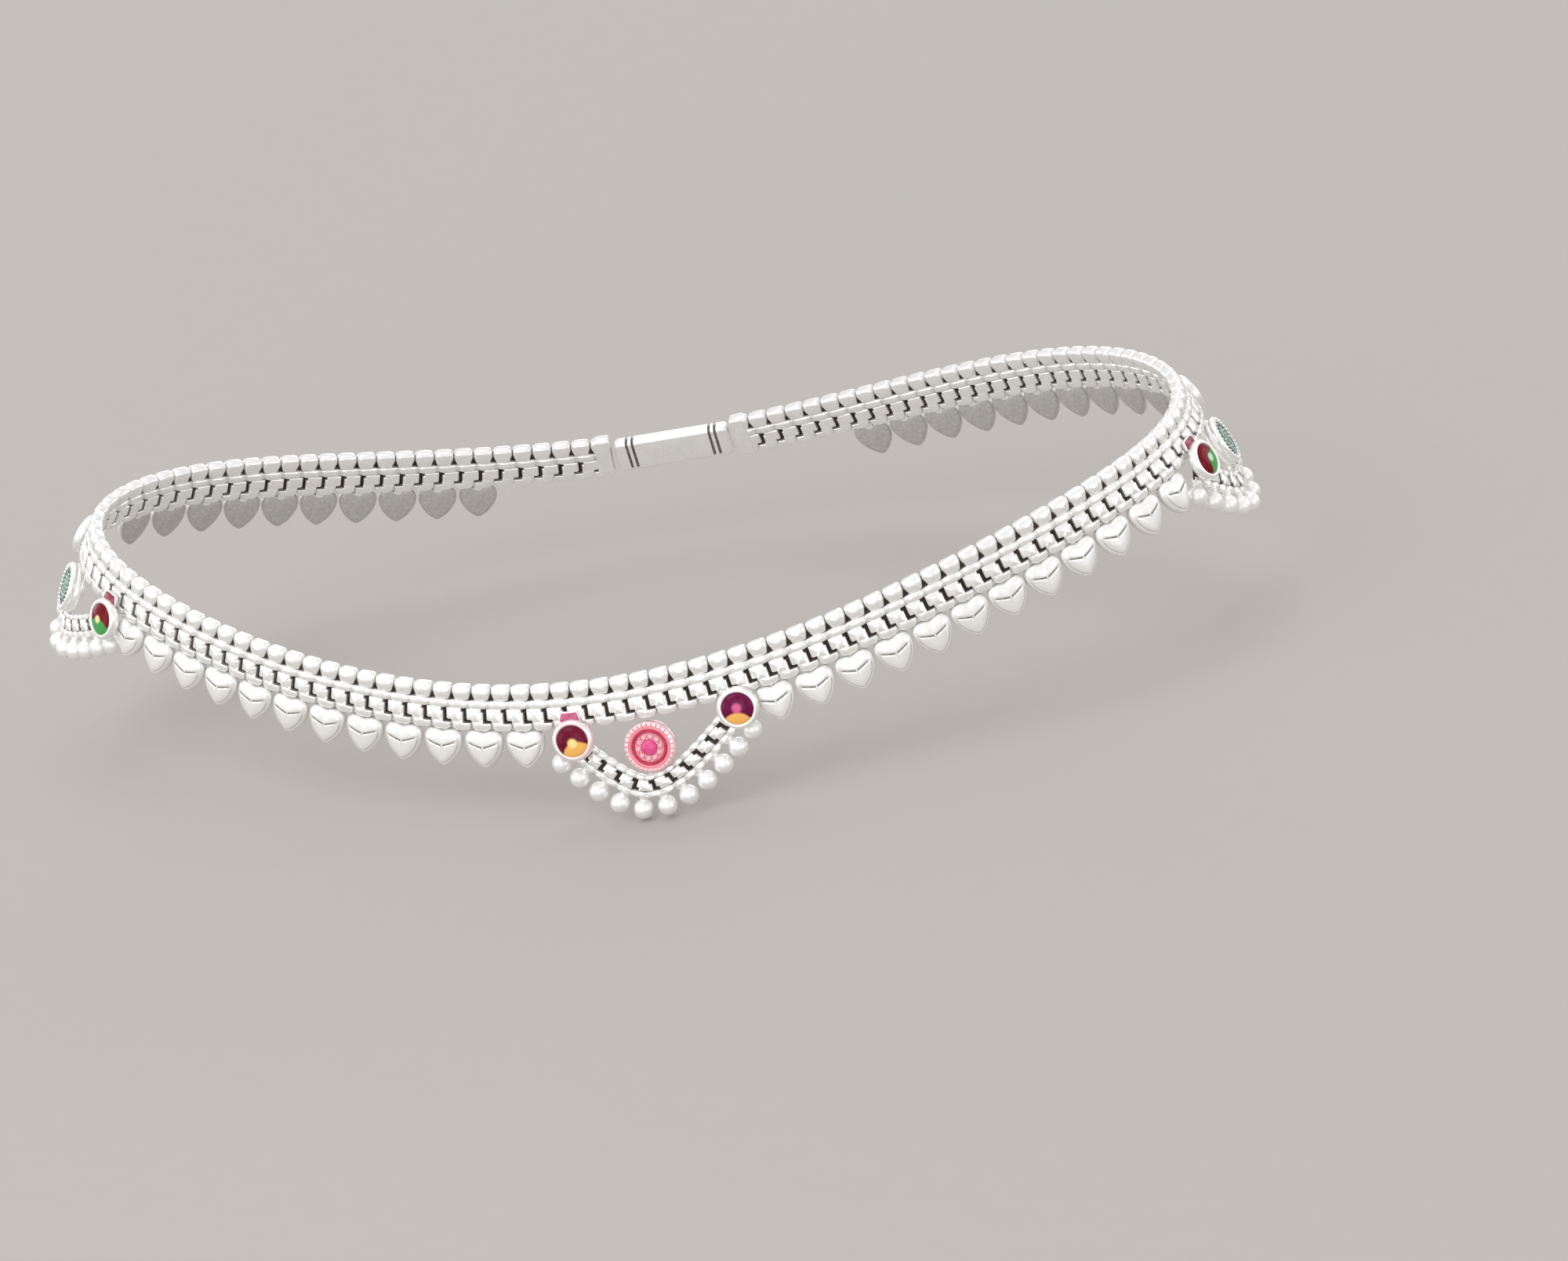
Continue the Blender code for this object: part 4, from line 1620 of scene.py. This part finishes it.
@dataclass
class Studio:
    """The pale floor, the soft lights and the camera."""

    elevation: float = 24.525
    azimuth: float = 13.722
    roll: float = -12.098
    distance: float = 0.8
    shift_right: float = 11.5 * MM
    shift_up: float = -15.03 * MM
    focal_pixels: float = 10748.17
    image_width: int = 2000
    sensor: float = 36.0
    clip: tuple[float, float] = (0.01, 20.0)
    floor_gap: float = 0.2 * MM
    floor_reach: float = 3.0
    world_strength: float = 0.85
    lamps: tuple[tuple[str, tuple[float, float, float], float, float], ...] = (
        ("key", (-0.35, -0.45, 0.65), 0.5, 1.6),
        ("top", (0.0, 0.25, 0.8), 0.6, 0.8),
    )
    low_lamps: int = 6
    low_lamp_reach: float = 0.6
    low_lamp_height: float = 0.11
    low_lamp_size: float = 0.30
    low_lamp_power: float = 0.34

    def camera(self) -> None:
        """Set up the camera at the photograph's viewing angle."""
        e, a, r = (math.radians(v) for v in (self.elevation, self.azimuth, self.roll))
        back = Vector((math.sin(a) * math.cos(e), -math.cos(a) * math.cos(e), math.sin(e)))
        right = (-back).cross(Vector((0, 0, 1))).normalized()
        up = right.cross(-back)
        rolled_right = right * math.cos(r) + up * math.sin(r)
        rolled_up = up * math.cos(r) - right * math.sin(r)
        data = bpy.data.cameras.new("camera")
        data.sensor_width = self.sensor
        data.lens = self.focal_pixels * self.sensor / self.image_width
        data.clip_start, data.clip_end = self.clip
        camera = bpy.data.objects.new("camera", data)
        turn = Matrix((rolled_right, rolled_up, back)).transposed().to_4x4()
        place = back * self.distance + right * self.shift_right + up * self.shift_up
        camera.matrix_world = Matrix.Translation(place) @ turn
        bpy.context.scene.collection.objects.link(camera)
        bpy.context.scene.camera = camera

    def floor(self) -> None:
        """Lay the floor under the lowest point."""
        z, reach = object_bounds()[0][2] - self.floor_gap, self.floor_reach
        mesh = bpy.data.meshes.new("floor")
        corners = [(x * reach, y * reach, z) for x, y in ((-1, -1), (1, -1), (1, 1), (-1, 1))]
        mesh.from_pydata(corners, [], [(0, 1, 2, 3)])
        mesh.materials.append(PaleFloor().material())
        floor = bpy.data.objects.new("floor", mesh)
        bpy.context.scene.collection.objects.link(floor)
        floor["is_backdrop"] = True

    def lamp(self, name: str, place: Sequence[float], size: float, energy: float) -> None:
        """Hang one soft square light that faces the anklet.

        Args:
            name: Its name.
            place: Where it hangs.
            size: The length of its sides.
            energy: Its power in watts.
        """
        data = bpy.data.lights.new(name, "AREA")
        data.size, data.energy = size, energy
        lamp = bpy.data.objects.new(name, data)
        lamp.location = place
        lamp.rotation_euler = (-Vector(place)).to_track_quat("-Z", "Y").to_euler()
        lamp.visible_camera = False
        bpy.context.scene.collection.objects.link(lamp)

    def build(self) -> None:
        """Set up the floor, lights, world and camera."""
        self.floor()
        for lamp in self.lamps:
            self.lamp(*lamp)
        for number in range(self.low_lamps):
            turn, reach = 2 * math.pi * (number + 0.5) / self.low_lamps, self.low_lamp_reach
            place = (reach * math.cos(turn), reach * math.sin(turn), self.low_lamp_height)
            self.lamp(f"low_{number}", place, self.low_lamp_size, self.low_lamp_power)
        world = bpy.data.worlds.new("studio")
        world.use_nodes = True
        background = world.node_tree.nodes["Background"]
        background.inputs["Color"].default_value = (1, 1, 1, 1)
        background.inputs["Strength"].default_value = self.world_strength
        bpy.context.scene.world = world
        bpy.context.scene.view_settings.view_transform = "Standard"
        self.camera()
        log.info("studio: floor, %d lights and camera", len(self.lamps) + self.low_lamps)


def front_motif() -> Motif:
    """Choose the front motif's finishes: pinks, maroon and amber.

    Returns:
        The motif.
    """
    rosette = (
        Silver("blush_bezel", (0.985, 0.80, 0.82), (0.95, 0.66, 0.70), (0.3, 0.08, 0.1)),
        Enamel("salmon_enamel", (0.92, 0.33, 0.38), (0.84, 0.24, 0.31)),
        Enamel("crimson_enamel", (0.60, 0.03, 0.10), (0.40, 0.015, 0.06)),
        Enamel("petal_enamel", (0.95, 0.55, 0.60), (0.88, 0.36, 0.45)),
        Enamel("rose_enamel", (0.80, 0.09, 0.28), (0.66, 0.05, 0.20)),
    )
    maroon, plum, amber = (0.17, 0.003, 0.026), (0.16, 0.003, 0.055), (0.94, 0.50, 0.13)
    # Colours of the studs' painted highlights.
    sunny, rosy = (1.0, 0.78, 0.30), (0.72, 0.12, 0.30)
    left_highlight, right_highlight = (0.10 * MM, -0.14 * MM), (0.0, 0.10 * MM)
    studs = (
        TwoToneEnamel("maroon_amber_left", maroon, amber, sunny, -0.30, -0.12 * MM, 0.60 * MM, left_highlight),
        TwoToneEnamel("maroon_amber_right", plum, amber, rosy, 0.25, -0.34 * MM, 0.62 * MM, right_highlight),
    )
    tab = Enamel("rose_tab_enamel", (0.58, 0.12, 0.25), (0.42, 0.06, 0.16))
    return Motif(Place.FRONT, MotifFinishes(rosette, Slot.PINK, studs, Slot.MAROON, (True, False), tab))


def end_motif(place: Place, tabs: tuple[bool, bool]) -> Motif:
    """Choose an end motif's finishes: teals, garnet and green, with white beads.

    Args:
        place: Which end it is.
        tabs: Whether the left and the right stud have a tab.

    Returns:
        The motif.
    """
    rosette = (
        Silver("pale_bezel"),
        Enamel("teal_enamel_ring", (0.20, 0.33, 0.27), (0.13, 0.25, 0.20)),
        Enamel("deep_teal_enamel", (0.08, 0.17, 0.14), (0.04, 0.10, 0.09)),
        Enamel("pale_teal_enamel", (0.28, 0.43, 0.35), (0.20, 0.34, 0.28)),
        Enamel("teal_dome_enamel", (0.17, 0.34, 0.28), (0.10, 0.25, 0.20)),
    )
    garnet, green = (0.19, 0.003, 0.010), (0.07, 0.36, 0.09)
    # Colours of the studs' painted highlights.
    leafy, creamy = (0.50, 0.80, 0.50), (0.90, 0.80, 0.42)
    split, left_highlight, right_highlight = 0.10 * MM, (0.10 * MM, 0.0), (0.0, 0.0)
    studs = (
        TwoToneEnamel("garnet_green_left", garnet, green, leafy, -0.8, split, 0.55 * MM, left_highlight),
        TwoToneEnamel("garnet_green_right", garnet, green, creamy, -0.2, split, 0.50 * MM, right_highlight),
    )
    tab = Enamel("garnet_tab_enamel", (0.34, 0.03, 0.07), (0.20, 0.01, 0.03))
    finishes = MotifFinishes(rosette, Slot.TEAL, studs, Slot.GREEN, tabs, tab)
    return Motif(place, finishes, Rosette(lip=0.52 * MM, bead_finish=0))


def main() -> None:
    """Build the anklet's looks round its solids."""
    logging.basicConfig(level=logging.INFO, format="%(message)s")
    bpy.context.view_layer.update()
    shop = Workshop()
    WovenBand(shop.strand).build(shop)
    HeartDrops().build(shop)
    motifs = front_motif(), end_motif(Place.HEEL, (False, True)), end_motif(Place.INSTEP, (True, False))
    for motif in motifs:
        motif.build(shop)
    Clasp().build(shop)
    Studio().build()


if __name__ == "__main__":
    main()
